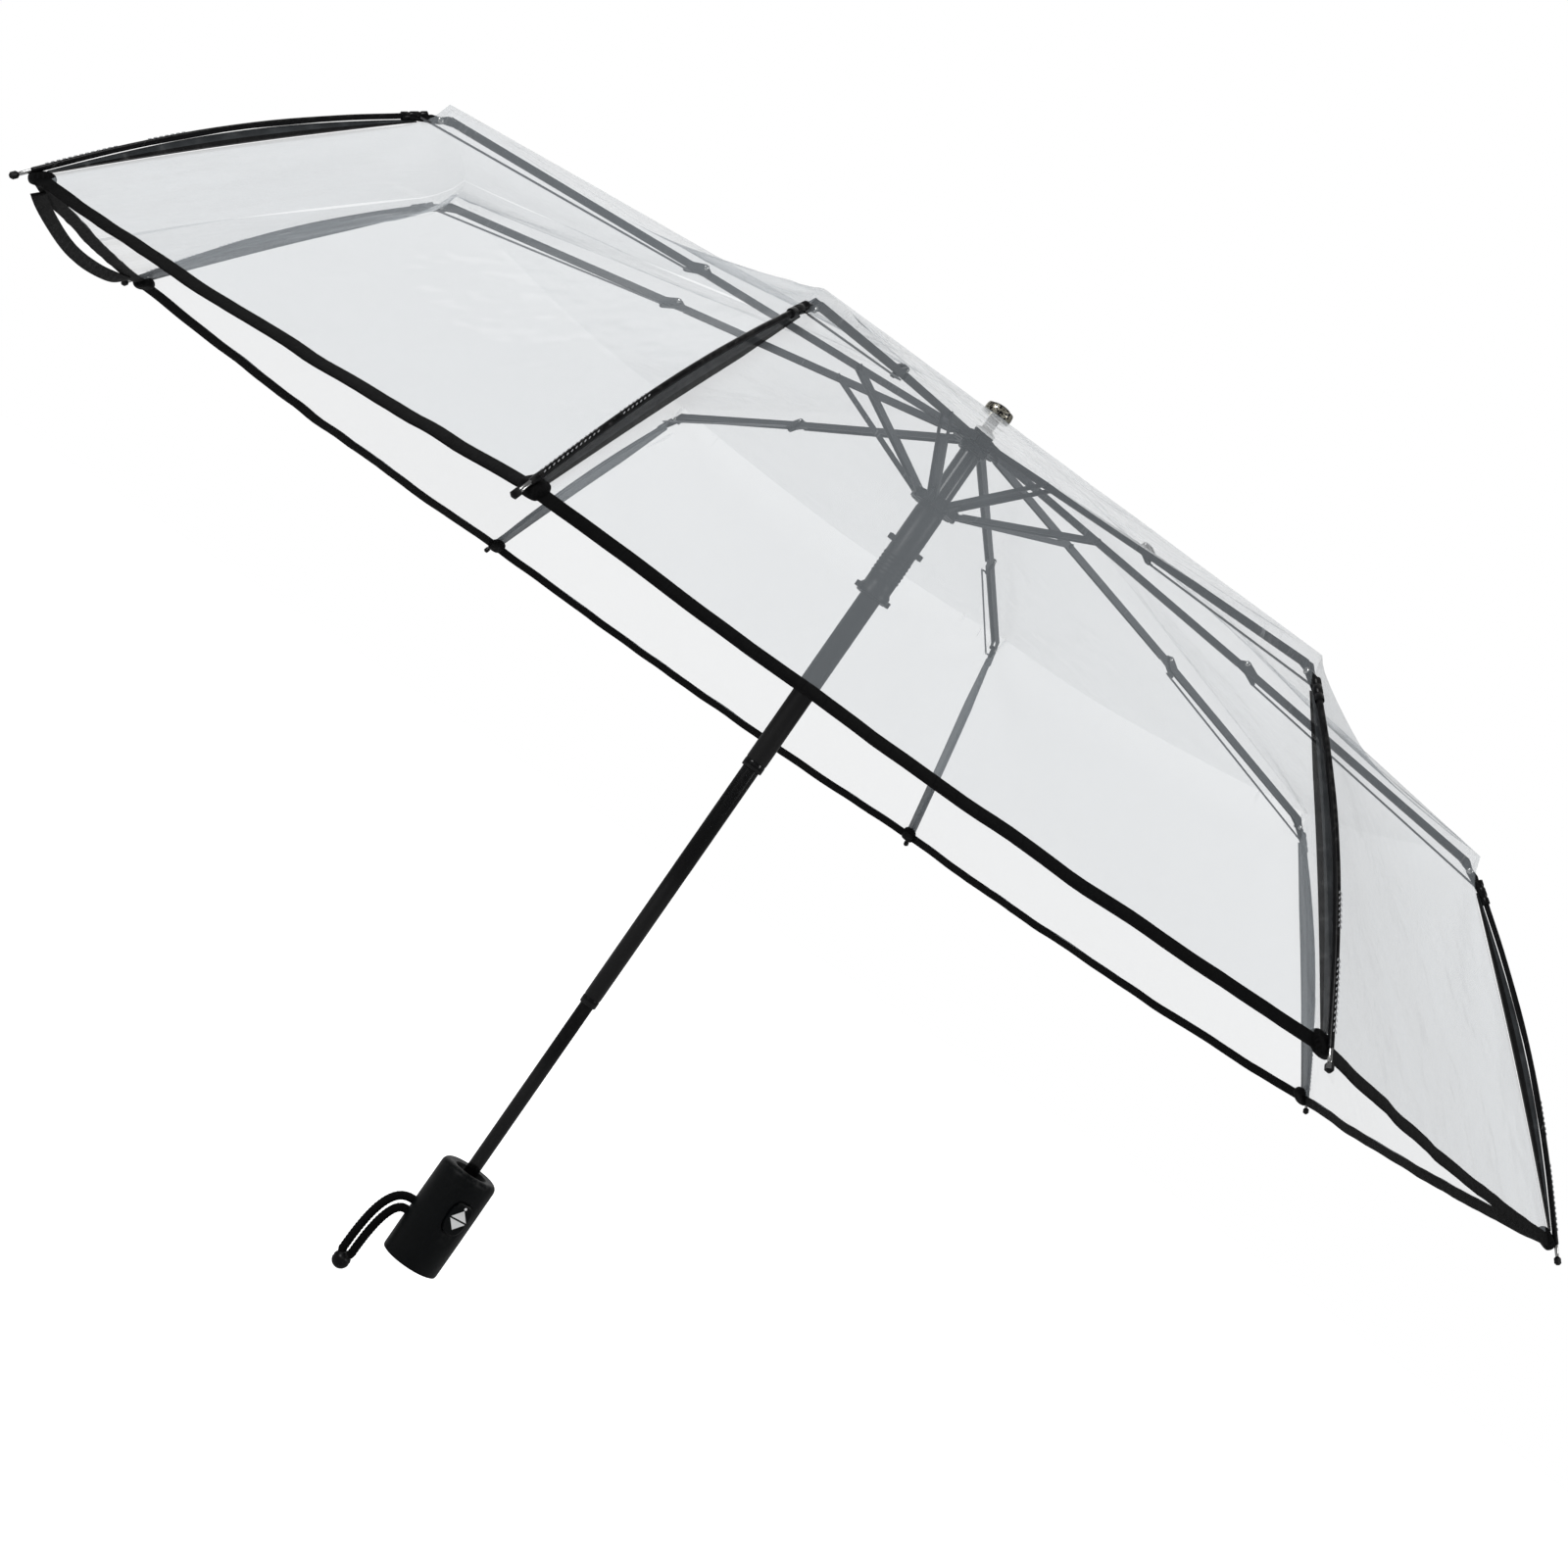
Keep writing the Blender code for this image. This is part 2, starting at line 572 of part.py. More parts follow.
# ---------------------------------------------------------------- canopy
def film_stations():
    """The film's line over a rib, as (radius, z) points from the centre hole to the rim, with how far along each is."""
    elbow = OPEN["crown"] + turn_2d((TOP_LEN, 2 * HINGE_OFFSET), TOP_OPEN_DEG)
    knee = OPEN["knee"] + turn_2d((0, 0.0056), (MIDDLE_OPEN_DEG + OUTER_OPEN_DEG) / 2)
    start = Vector((0.0088, FILM_TOP_Z))
    points = [Vector((FILM_HOLE_R, FILM_TOP_Z)), start]
    points += [start.lerp(elbow, s) for s in (0.25, 0.6, 1.0)]
    points += [elbow.lerp(knee, s) for s in (0.4, 0.8, 1.0)]
    for t in (0.16, 0.36, 0.56, 0.76, 0.96):
        rod = outer_path(t)
        lift = 0.0030 - 0.0009 * t
        points.append(OPEN["knee"] + turn_2d((rod.x, rod.z + lift), OUTER_OPEN_DEG))
    return points


FILM = film_stations()
KNEE_STATION = 7


def film_point(station, k, w):
    """A point of the film: w runs from -1 on rib k to 1 on the next rib; station may lie between two of FILM."""
    low = max(0, min(int(station), len(FILM) - 2))
    radius, z = FILM[low].lerp(FILM[low + 1], station - low)
    ends = []
    for step in (0, 1):
        spoke = math.radians(FIRST_RIB_DEG + SECTOR_DEG * (k + step))
        ends.append(Vector((radius * math.cos(spoke), radius * math.sin(spoke), z)))
    point = ends[0].lerp(ends[1], (w + 1) / 2)
    if station <= KNEE_STATION:
        sag = GORE_SAG * (max(0.0, station - 1) / (KNEE_STATION - 1)) ** 1.5
    else:
        sag = GORE_SAG + (RIM_SAG - GORE_SAG) * (station - KNEE_STATION) / (len(FILM) - 1 - KNEE_STATION)
    inward = (Vector((0, 0, 0.33)) - point).normalized()
    return point + inward * sag * (1 - w * w)


def rim_station(w, beyond):
    """The station of the canopy's edge, which droops a little between the ribs, plus a distance beyond it."""
    last = len(FILM) - 1
    spacing = (FILM[last] - FILM[last - 1]).length
    return last + (beyond + EDGE_DROOP * (1 - w * w)) / spacing


def add_canopy(film, tape, strap):
    """The film is one sheet over all ribs, and the binding carries on from its edge."""
    inner = list(range(len(FILM) - 1))
    columns = [(k, -1 + 2 * i / GORE_STEPS) for k in range(RIBS) for i in range(GORE_STEPS)]
    sheet = [[film_point(s, k, w) for s in inner] + [film_point(rim_station(w, 0), k, w)] for k, w in columns]
    band = [
        [film_point(rim_station(w, GAP + BINDING_W * s), k, w) for s in (0, 1)] for k, w in columns
    ]
    for name, grid, thickness, finish in (("canopy", sheet, FILM_T, film), ("rim_binding", band, BINDING_T, tape)):
        made = place(name, grid_mesh(grid, True), finish)
        thicken(made, thickness)
    strip = []
    for i in range(13):
        t = i / 12
        w = 0.85 - 1.65 * t
        edge = film_point(rim_station(w, GAP + BINDING_W), RIBS - 1, w)
        drop = 0.0009 + 0.0032 * math.sin(math.pi * t)
        outwards = Vector((edge.x, edge.y, 0)).normalized() * 0.002 * math.sin(math.pi * t)
        strip.append([edge + outwards - Vector((0, 0, drop)), edge + outwards - Vector((0, 0, drop + STRAP_W))])
    thicken(place("closure_strap", grid_mesh(strip, False), strap), STRAP_T)


def grid_mesh(columns, closed):
    bm = bmesh.new()
    rows = [[bm.verts.new(point) for point in column] for column in columns]
    pairs = list(zip(rows, rows[1:])) + ([(rows[-1], rows[0])] if closed else [])
    for left, right in pairs:
        for i in range(len(left) - 1):
            bm.faces.new((left[i], right[i], right[i + 1], left[i + 1]))
    return to_mesh("sheet", bm)


def thicken(made, thickness):
    solid = made.modifiers.new("Thickness", "SOLIDIFY")
    solid.thickness = thickness
    solid.offset = 0
    solid.use_even_offset = True


# ---------------------------------------------------------------- the umbrella
def main():
    clear_scene()
    black_metal = material("black_painted_steel", (0.02, 0.02, 0.022), 0.32, 0.5)
    steel = material("grey_rib_steel", (0.10, 0.105, 0.11), 0.4, 0.8)
    fibre = material("black_fibre_rod", (0.018, 0.018, 0.02), 0.4)
    plastic = material("black_plastic", (0.015, 0.015, 0.017), 0.4)
    rubber = material("soft_touch_rubber", (0.012, 0.014, 0.016), 0.62)
    spring = material("spring_wire", (0.55, 0.55, 0.55), 0.3, 1.0)
    speckled = material("speckled_metal", (0.50, 0.48, 0.42), 0.35, 0.9)
    film = material("clear_film", (0.75, 0.77, 0.78), 0.08, 0.0, 0.3)
    tape = material("black_woven_tape", (0.01, 0.01, 0.011), 0.8)
    cord = material("black_braided_cord", (0.012, 0.012, 0.013), 0.75)
    add_handle(rubber, plastic, spring)
    add_wrist_strap(cord, plastic)
    add_shaft(black_metal, spring)
    add_crown(plastic)
    add_runner(plastic)
    add_ferrule(plastic, speckled)
    add_ribs(steel, fibre)
    add_canopy(film, tape, tape)


main()
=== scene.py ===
# %% [markdown]
# # A clear folding umbrella
# The working model (tubes, ribs, hinges, runner) is loaded as a fixed frame.  Everything added below
# except the film's crown patches rides on one of its bodies, so the umbrella still folds.  Loading comes
# first because each piece takes its place from it.

# %% Load the frame and note its size
import json
import math

import bpy
from mathutils import Matrix, Vector, noise


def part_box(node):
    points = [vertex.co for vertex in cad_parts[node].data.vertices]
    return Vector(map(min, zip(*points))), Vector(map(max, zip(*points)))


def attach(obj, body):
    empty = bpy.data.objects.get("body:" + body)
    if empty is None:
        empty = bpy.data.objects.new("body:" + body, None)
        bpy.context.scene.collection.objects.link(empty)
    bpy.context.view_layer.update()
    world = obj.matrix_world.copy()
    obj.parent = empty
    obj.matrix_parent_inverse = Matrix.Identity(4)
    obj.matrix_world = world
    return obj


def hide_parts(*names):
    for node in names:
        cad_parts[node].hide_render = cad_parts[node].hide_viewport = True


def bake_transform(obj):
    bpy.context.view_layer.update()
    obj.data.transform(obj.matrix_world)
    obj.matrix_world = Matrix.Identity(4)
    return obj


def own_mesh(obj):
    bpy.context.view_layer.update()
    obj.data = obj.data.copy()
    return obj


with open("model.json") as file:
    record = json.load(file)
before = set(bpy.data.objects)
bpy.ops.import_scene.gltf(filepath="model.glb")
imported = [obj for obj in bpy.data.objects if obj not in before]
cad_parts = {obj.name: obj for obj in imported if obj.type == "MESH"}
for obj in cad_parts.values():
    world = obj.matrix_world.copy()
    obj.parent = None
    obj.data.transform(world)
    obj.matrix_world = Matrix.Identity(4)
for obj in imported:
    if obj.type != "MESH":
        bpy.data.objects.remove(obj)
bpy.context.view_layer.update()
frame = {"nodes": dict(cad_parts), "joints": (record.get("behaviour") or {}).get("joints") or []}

# %% [markdown]
# ## Measures of the rib linkage
# A rib has three lengths: top, middle and outer.  The hinges' places could be typed in again, but they
# are read from the frame's own joints, so that a film or a rivet can't drift away from the metal it sits
# on.

# %% The rib's pivots, in its own upright plane: (distance from the shaft, height)
JOINTS = {joint["name"]: joint for joint in frame["joints"]}
RIBS = 8
SECTOR = math.radians(45)
FIRST_RIB = math.radians(180)


def pivot(name):
    x, y, z = JOINTS[name]["pos_m"]
    return Vector((math.hypot(x, y), z))


CROWN, ELBOW, KNEE = pivot("top_hinge_1"), pivot("elbow_1"), pivot("knee_1")
CORNER = Vector((0.4850, 0.3580))
HINGE_OFFSET = 0.0026
ROD_BOW = 0.0070
ROD_LEN = math.sqrt((CORNER - KNEE).length ** 2 - HINGE_OFFSET ** 2)
ROD_ANGLE = math.atan2(CORNER.y - KNEE.y, CORNER.x - KNEE.x) - math.atan2(HINGE_OFFSET, ROD_LEN)
TOP_ANGLE = math.radians(-8)
MIDDLE_ANGLE = math.atan2(KNEE.y - ELBOW.y, KNEE.x - ELBOW.x)
print("pivots", CROWN[:], ELBOW[:], KNEE[:], "outer rib", round(ROD_LEN, 4), "m")


# %% Turning a point in the rib's plane
def turn_2d(x, z, angle):
    cos, sin = math.cos(angle), math.sin(angle)
    return Vector((x * cos - z * sin, x * sin + z * cos))


def string_point(t, lift=0.0):
    """On the line that the film takes inside the bowed rod, as a string in a bow; t is as for the rod."""
    return KNEE + turn_2d(ROD_LEN * t, lift + 0.25 * ROD_BOW * math.sin(math.pi * t), ROD_ANGLE)


def rod_point(t, lift=0.0):
    """On the bowed outer rod: t is 0 at the knee and 1 at the corner."""
    return KNEE + turn_2d(ROD_LEN * t, HINGE_OFFSET + ROD_BOW * math.sin(math.pi * t) + lift, ROD_ANGLE)


print("gap between rod and film halfway", round((rod_point(0.5) - string_point(0.5)).length, 4), "m")


# %% [markdown]
# ## Camera, floor and light
# The camera stands at the side, level with the open canopy, and is rolled so that the shaft slants.  A
# clear film only shows by what it reflects and by a slight greying.  A dark room would make it glassy, so
# the room is white to the eye.  It lights the umbrella only dimly, so that black parts stay black, and
# three soft boxes draw the long highlights on the tubes.

# %% Camera
CAMERA_AT = Vector((-0.684, -1.179, 0.309))
CAMERA_AIM = Vector((0.0167, -0.0100, 0.3308))
CAMERA_ROLL = math.radians(34.8)
bpy.ops.object.camera_add(location=CAMERA_AT)
camera = bpy.context.object
camera.name = "Camera"
camera.data.lens = 57.1
turn = (CAMERA_AIM - CAMERA_AT).to_track_quat("-Z", "Y").to_matrix()
camera.rotation_euler = (turn @ Matrix.Rotation(CAMERA_ROLL, 3, "Z")).to_euler()
bpy.context.scene.camera = camera
bpy.context.scene.view_settings.view_transform = "Standard"
print("camera is", round((CAMERA_AIM - CAMERA_AT).length, 3), "m from the shaft")

# %% Floor and room
FLOOR_Z = -0.027
bpy.ops.mesh.primitive_plane_add(size=14, location=(0, 0, FLOOR_Z))
floor = bpy.context.object
floor.name = "floor"
floor_finish = bpy.data.materials.new("pale_floor")
floor_finish.use_nodes = True
floor_shader = floor_finish.node_tree.nodes["Principled BSDF"]
floor_shader.inputs["Base Color"].default_value = (0.80, 0.80, 0.80, 1)
floor_shader.inputs["Roughness"].default_value = 0.9
floor_shader.inputs["Emission Color"].default_value = (1, 1, 1, 1)
seen = floor_finish.node_tree.nodes.new("ShaderNodeLightPath").outputs["Is Camera Ray"]
floor_finish.node_tree.links.new(seen, floor_shader.inputs["Emission Strength"])
floor.data.materials.append(floor_finish)
print("floor at", FLOOR_Z, "m, as bright to the eye as the room")

# %% Room: bright to the eye, dim as a lamp
room = bpy.data.worlds.new("white_room")
room.use_nodes = True
ROOM_LIGHT, ROOM_SEEN = 0.22, 1.0
backdrop = room.node_tree.nodes["Background"]
backdrop.inputs["Color"].default_value = (1, 1, 1, 1)
strength = room.node_tree.nodes.new("ShaderNodeMapRange")
strength.inputs["To Min"].default_value = ROOM_LIGHT
strength.inputs["To Max"].default_value = ROOM_SEEN
seen = room.node_tree.nodes.new("ShaderNodeLightPath").outputs["Is Camera Ray"]
room.node_tree.links.new(seen, strength.inputs["Value"])
room.node_tree.links.new(strength.outputs["Result"], backdrop.inputs["Strength"])
bpy.context.scene.world = room
print("room is seen at", ROOM_SEEN, "and lights at", ROOM_LIGHT)

# %% Soft boxes: name, place, size in metres, power in watts
CANOPY_MIDDLE = Vector((0, 0, 0.3))
SOFT_BOXES = (
    ("box_left", (-1.9, -0.6, 1.5), 0.7, 20),
    ("box_right", (1.2, -1.7, 1.1), 0.5, 9),
    ("box_behind", (0.6, 1.8, 1.6), 2.4, 12),
)
for name, place, size, power in SOFT_BOXES:
    bpy.ops.object.light_add(type="AREA", location=place)
    light = bpy.context.object
    light.name = name
    light.data.size = size
    light.data.energy = power
    light.rotation_euler = (CANOPY_MIDDLE - Vector(place)).to_track_quat("-Z", "Y").to_euler()
print("lights", [box[0] for box in SOFT_BOXES])


# %% [markdown]
# ## Working helpers
# An operator changes all that is selected, so everything is deselected before each step.  A finished
# piece has its place in its mesh and its object at the origin, and it rides on a body of the frame.

# %% Selecting and finishing a piece
def deselect():
    if bpy.context.object and bpy.context.object.mode != "OBJECT":
        bpy.ops.object.mode_set(mode="OBJECT")
    bpy.ops.object.select_all(action="DESELECT")


def only(piece):
    deselect()
    piece.select_set(True)
    bpy.context.view_layer.objects.active = piece
    return piece


def settle(piece, smooth_deg=38):
    """Place, turn and scale go into the mesh; round stretches are shaded smooth."""
    only(piece)
    bpy.ops.object.transform_apply(location=True, rotation=True, scale=True)
    bpy.ops.object.shade_smooth_by_angle(angle=math.radians(smooth_deg))
    return piece


def finished(piece, name, body, finish):
    piece.name = name
    piece.data.name = name
    piece.data.materials.clear()
    piece.data.materials.append(finish)
    if body:
        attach(piece, body)
    return piece


def copied(piece, matrix):
    twin = piece.copy()
    twin.data = piece.data.copy()
    bpy.context.scene.collection.objects.link(twin)
    twin.data.transform(matrix)
    return twin


def joined(pieces):
    only(pieces[0])
    for other in pieces:
        other.select_set(True)
    bpy.ops.object.join()
    return bpy.context.object


print("joints that the pieces will move with", len(JOINTS))

# %% A round piece, turned up ring by ring
AXIS = 1e-5
MERGE = 3e-5


def turned(profile, sides=48, smooth_deg=38):
    """A circle is extruded and resized along (radius, height) points; AXIS as a radius closes the shape."""
    deselect()
    bpy.ops.mesh.primitive_circle_add(vertices=sides, radius=profile[0][0], location=(0, 0, profile[0][1]))
    bpy.ops.object.mode_set(mode="EDIT")
    bpy.ops.mesh.select_all(action="SELECT")
    for (r_low, z_low), (r_high, z_high) in zip(profile, profile[1:]):
        bpy.ops.mesh.extrude_region_move(TRANSFORM_OT_translate={"value": (0, 0, z_high - z_low)})
        bpy.ops.transform.resize(value=(r_high / r_low, r_high / r_low, 1))
    bpy.ops.mesh.select_all(action="SELECT")
    bpy.ops.mesh.remove_doubles(threshold=MERGE)
    bpy.ops.mesh.normals_make_consistent(inside=False)
    bpy.ops.object.mode_set(mode="OBJECT")
    return settle(bpy.context.object, smooth_deg)


def ball_profile(radius, steps):
    """Half a circle from pole to pole, for a ball."""
    angles = [math.pi * i / steps for i in range(steps + 1)]
    inner = [(radius * math.sin(a), -radius * math.cos(a)) for a in angles[1:-1]]
    return [(AXIS, -radius), *inner, (AXIS, radius)]


print("a ball of 12 steps has", len(ball_profile(1, 12)), "rings")

# %% Eight copies, one for each rib
def spoke(k):
    return FIRST_RIB + SECTOR * k


def in_rib_plane(point, across=0.0):
    """From (distance, height) in the plane of a rib along +X to a point in space."""
    return Vector((point.x, across, point.y))


def on_each_rib(model, name, body, finish):
    """The model lies along +X; each rib gets its own copy, and the model is removed."""
    for k in range(RIBS):
        twin = copied(model, Matrix.Rotation(spoke(k), 4, "Z"))
        finished(twin, f"{name}_{k + 1}", f"{body}_{k + 1}", finish)
    print(name, "x", RIBS, "on", body, len(model.data.polygons), "faces each")
    bpy.data.objects.remove(model, do_unlink=True)


# %% [markdown]
# ## Shared surface effects
# Moulded plastic, painted steel and woven tape all need the same few effects: a fine grain, light scuffs,
# a weave and a little dust on what faces up.  They could be wired again in each material.  Here each is a
# node group with named values, so that one change reaches every finish that uses it.

# %% Group helpers
def new_group(name, inputs, outputs):
    group = bpy.data.node_groups.new(name, "ShaderNodeTree")
    for label, kind, value in inputs:
        made = group.interface.new_socket(label, in_out="INPUT", socket_type=kind)
        if value is not None:
            made.default_value = value
    for label, kind in outputs:
        group.interface.new_socket(label, in_out="OUTPUT", socket_type=kind)
    return group, group.nodes.new("NodeGroupInput"), group.nodes.new("NodeGroupOutput")


def node(tree, kind, settings=(), **values):
    """A node with its settings, and its inputs by name."""
    made = tree.nodes.new(kind)
    for key, value in dict(settings).items():
        setattr(made, key, value)
    for key, value in values.items():
        made.inputs[key.replace("_", " ")].default_value = value
    return made


def link(tree, start, end):
    tree.links.new(start, end)


def maths(tree, operation, first, second=None, third=None):
    """A Math node; each value is a number, another node's output or nothing."""
    made = tree.nodes.new("ShaderNodeMath")
    made.operation = operation
    for socket, value in zip(made.inputs, (first, second, third)):
        if isinstance(value, (int, float)):
            socket.default_value = value
        elif value is not None:
            link(tree, value, socket)
    return made.outputs[0]


COLOUR_MIX = {"data_type": "RGBA"}
VECTOR_IN = ("Vector", "NodeSocketVector", None)
print("shared effects: Grain, Scuffs, Weave, Dust")

# %% Grain: height and a mask of soft patches
GRAIN, grain_in, grain_out = new_group(
    "Grain",
    [VECTOR_IN, ("Scale", "NodeSocketFloat", 400.0), ("Patches", "NodeSocketFloat", 30.0)],
    [("Height", "NodeSocketFloat"), ("Patch", "NodeSocketFloat")],
)
fine = node(GRAIN, "ShaderNodeTexNoise", Detail=5.0, Roughness=0.6)
broad = node(GRAIN, "ShaderNodeTexNoise", Detail=3.0)
link(GRAIN, grain_in.outputs["Vector"], fine.inputs["Vector"])
link(GRAIN, grain_in.outputs["Vector"], broad.inputs["Vector"])
link(GRAIN, grain_in.outputs["Scale"], fine.inputs["Scale"])
link(GRAIN, grain_in.outputs["Patches"], broad.inputs["Scale"])
link(GRAIN, fine.outputs["Fac"], grain_out.inputs["Height"])
link(GRAIN, broad.outputs["Fac"], grain_out.inputs["Patch"])
print(GRAIN.name, len(GRAIN.nodes), "nodes")

# %% Scuffs: thin marks that run one way
SCUFFS, scuff_in, scuff_out = new_group(
    "Scuffs",
    [VECTOR_IN, ("Amount", "NodeSocketFloat", 0.3)],
    [("Mask", "NodeSocketFloat")],
)
stretch = node(SCUFFS, "ShaderNodeMapping")
stretch.inputs["Scale"].default_value = (1.0, 1.0, 0.08)
stretch.inputs["Rotation"].default_value = (0.5, 0.3, 0.0)
marks = node(SCUFFS, "ShaderNodeTexNoise", Scale=900.0, Detail=2.0)
where = node(SCUFFS, "ShaderNodeTexNoise", Scale=45.0, Detail=2.0)
link(SCUFFS, scuff_in.outputs["Vector"], stretch.inputs["Vector"])
link(SCUFFS, stretch.outputs["Vector"], marks.inputs["Vector"])
link(SCUFFS, scuff_in.outputs["Vector"], where.inputs["Vector"])
sharp = node(SCUFFS, "ShaderNodeMapRange", From_Min=0.60, From_Max=0.72)
patchy = node(SCUFFS, "ShaderNodeMapRange", From_Min=0.50, From_Max=0.66)
link(SCUFFS, marks.outputs["Fac"], sharp.inputs["Value"])
link(SCUFFS, where.outputs["Fac"], patchy.inputs["Value"])
both = maths(SCUFFS, "MULTIPLY", sharp.outputs["Result"], patchy.outputs["Result"])
link(SCUFFS, maths(SCUFFS, "MULTIPLY", both, scuff_in.outputs["Amount"]), scuff_out.inputs["Mask"])
print(SCUFFS.name, len(SCUFFS.nodes), "nodes")

# %% Weave: warp and weft crossing on a piece's own map
WEAVE, weave_in, weave_out = new_group(
    "Weave",
    [VECTOR_IN, ("Across", "NodeSocketFloat", 12.0), ("Along", "NodeSocketFloat", 200.0)],
    [("Height", "NodeSocketFloat")],
)
parts = node(WEAVE, "ShaderNodeSeparateXYZ")
link(WEAVE, weave_in.outputs["Vector"], parts.inputs[0])
threads = []
for axis, count in (("X", "Along"), ("Y", "Across")):
    phase = maths(WEAVE, "MULTIPLY", parts.outputs[axis], weave_in.outputs[count])
    threads.append(maths(WEAVE, "SINE", maths(WEAVE, "MULTIPLY", phase, 2 * math.pi)))
crossed = maths(WEAVE, "MULTIPLY", threads[0], threads[1])
link(WEAVE, maths(WEAVE, "MULTIPLY_ADD", crossed, 0.5, 0.5), weave_out.inputs["Height"])
print(WEAVE.name, len(WEAVE.nodes), "nodes")

# %% Dust: a light veil on what faces up
DUST, dust_in, dust_out = new_group(
    "Dust",
    [VECTOR_IN, ("Amount", "NodeSocketFloat", 0.1)],
    [("Mask", "NodeSocketFloat")],
)
facing = node(DUST, "ShaderNodeNewGeometry")
up = node(DUST, "ShaderNodeSeparateXYZ")
specks = node(DUST, "ShaderNodeTexNoise", Scale=320.0, Detail=6.0)
link(DUST, facing.outputs["Normal"], up.inputs[0])
link(DUST, dust_in.outputs["Vector"], specks.inputs["Vector"])
settled = node(DUST, "ShaderNodeMapRange", From_Min=0.45, From_Max=0.75)
link(DUST, specks.outputs["Fac"], settled.inputs["Value"])
upward = maths(DUST, "MAXIMUM", up.outputs["Z"], 0.0)
veil = maths(DUST, "MULTIPLY", upward, settled.outputs["Result"])
link(DUST, maths(DUST, "MULTIPLY", veil, dust_in.outputs["Amount"]), dust_out.inputs["Mask"])
print(DUST.name, len(DUST.nodes), "nodes")


# %% [markdown]
# ## Finishes
# Hard parts share one recipe: two close shades mixed by the grain's patches, scuffs that lighten and
# roughen, dust, and a bump from the fine grain.  One flat colour for each would be quicker, but black
# parts then melt into each other; small differences of shade and gloss keep rubber, plastic and enamel
# apart.

# %% One recipe for the hard finishes
def place_group(tree, group, **values):
    made = tree.nodes.new("ShaderNodeGroup")
    made.node_tree = group
    for key, value in values.items():
        made.inputs[key].default_value = value
    return made


def mix_colour(tree, mask, first, second):
    made = node(tree, "ShaderNodeMix", COLOUR_MIX)
    link(tree, mask, made.inputs["Factor"])
    for socket, value in ((made.inputs["A"], first), (made.inputs["B"], second)):
        if isinstance(value, tuple):
            socket.default_value = (*value, 1)
        else:
            link(tree, value, socket)
    return made.outputs["Result"]


DUST_GREY = (0.55, 0.54, 0.52)


def hard_finish(
    name, dark, light, roughness,
    metallic=0.0, scale=500.0, bump=0.04, scuffs=0.25, worn=0.25, coat=0.0, gleam=0.5,
):
    """Between a dark and a light shade; worn is how much lighter a scuff is."""
    made = bpy.data.materials.new(name)
    made.use_nodes = True
    tree = made.node_tree
    shader = tree.nodes["Principled BSDF"]
    where = node(tree, "ShaderNodeTexCoord").outputs["Object"]
    grain = place_group(tree, GRAIN, Scale=scale, Patches=60.0)
    marks = place_group(tree, SCUFFS, Amount=scuffs)
    dust = place_group(tree, DUST, Amount=0.10)
    for group in (grain, marks, dust):
        link(tree, where, group.inputs["Vector"])
    base = mix_colour(tree, grain.outputs["Patch"], dark, light)
    base = mix_colour(tree, marks.outputs["Mask"], base, tuple(min(1.0, c + worn) for c in light))
    base = mix_colour(tree, dust.outputs["Mask"], base, DUST_GREY)
    link(tree, base, shader.inputs["Base Color"])
    rough = node(tree, "ShaderNodeMapRange", To_Min=roughness * 0.8, To_Max=roughness * 1.2)
    link(tree, grain.outputs["Patch"], rough.inputs["Value"])
    rougher = maths(tree, "ADD", rough.outputs["Result"], marks.outputs["Mask"])
    link(tree, rougher, shader.inputs["Roughness"])
    relief = node(tree, "ShaderNodeBump", Strength=bump, Distance=0.0004)
    link(tree, grain.outputs["Height"], relief.inputs["Height"])
    link(tree, relief.outputs["Normal"], shader.inputs["Normal"])
    shader.inputs["Metallic"].default_value = metallic
    shader.inputs["Coat Weight"].default_value = coat
    shader.inputs["Coat Roughness"].default_value = 0.08
    shader.inputs["Specular IOR Level"].default_value = gleam
    return made


RUBBER = hard_finish(
    "soft_rubber", (0.0006, 0.0011, 0.0014), (0.0022, 0.0032, 0.0038), 0.42,
    scale=900.0, bump=0.25, scuffs=0.08, worn=0.04, gleam=0.14,
)
PLASTIC = hard_finish(
    "black_moulding", (0.001, 0.001, 0.0014), (0.004, 0.004, 0.005), 0.34, bump=0.08, gleam=0.2,
)
BUTTON = hard_finish(
    "button_moulding", (0.0006, 0.001, 0.0013), (0.002, 0.003, 0.0035), 0.34, scuffs=0.08, gleam=0.12,
)
TUBE = hard_finish(
    "shaft_enamel", (0.001, 0.001, 0.0013), (0.003, 0.003, 0.0035), 0.22,
    scale=250.0, bump=0.03, scuffs=0.1, worn=0.1, coat=0.2, gleam=0.2,
)
STEEL = hard_finish(
    "rib_enamel", (0.006, 0.007, 0.009), (0.020, 0.022, 0.026), 0.34,
    metallic=0.5, scale=350.0, bump=0.10, scuffs=0.5, worn=0.30,
)
WIRE = hard_finish(
    "link_wire", (0.12, 0.12, 0.13), (0.24, 0.24, 0.25), 0.30, metallic=1.0, scale=600.0, bump=0.08,
)
ROD = hard_finish(
    "fibre_rod", (0.001, 0.001, 0.0015), (0.004, 0.004, 0.005), 0.30, scale=800.0, bump=0.12, gleam=0.2,
)
BRIGHT = hard_finish(
    "bright_steel", (0.30, 0.30, 0.30), (0.55, 0.55, 0.54), 0.22,
    metallic=1.0, bump=0.05, scuffs=0.4, worn=0.2,
)
GLOSS = hard_finish(
    "gloss_cap", (0.003, 0.003, 0.004), (0.008, 0.008, 0.009), 0.12,
    scale=300.0, bump=0.02, scuffs=0.1, worn=0.2, coat=0.6,
)
MARKING = hard_finish(
    "white_marking", (0.94, 0.94, 0.95), (0.98, 0.98, 0.98), 0.45,
    scale=900.0, bump=0.05, scuffs=0.1, worn=0.05,
)
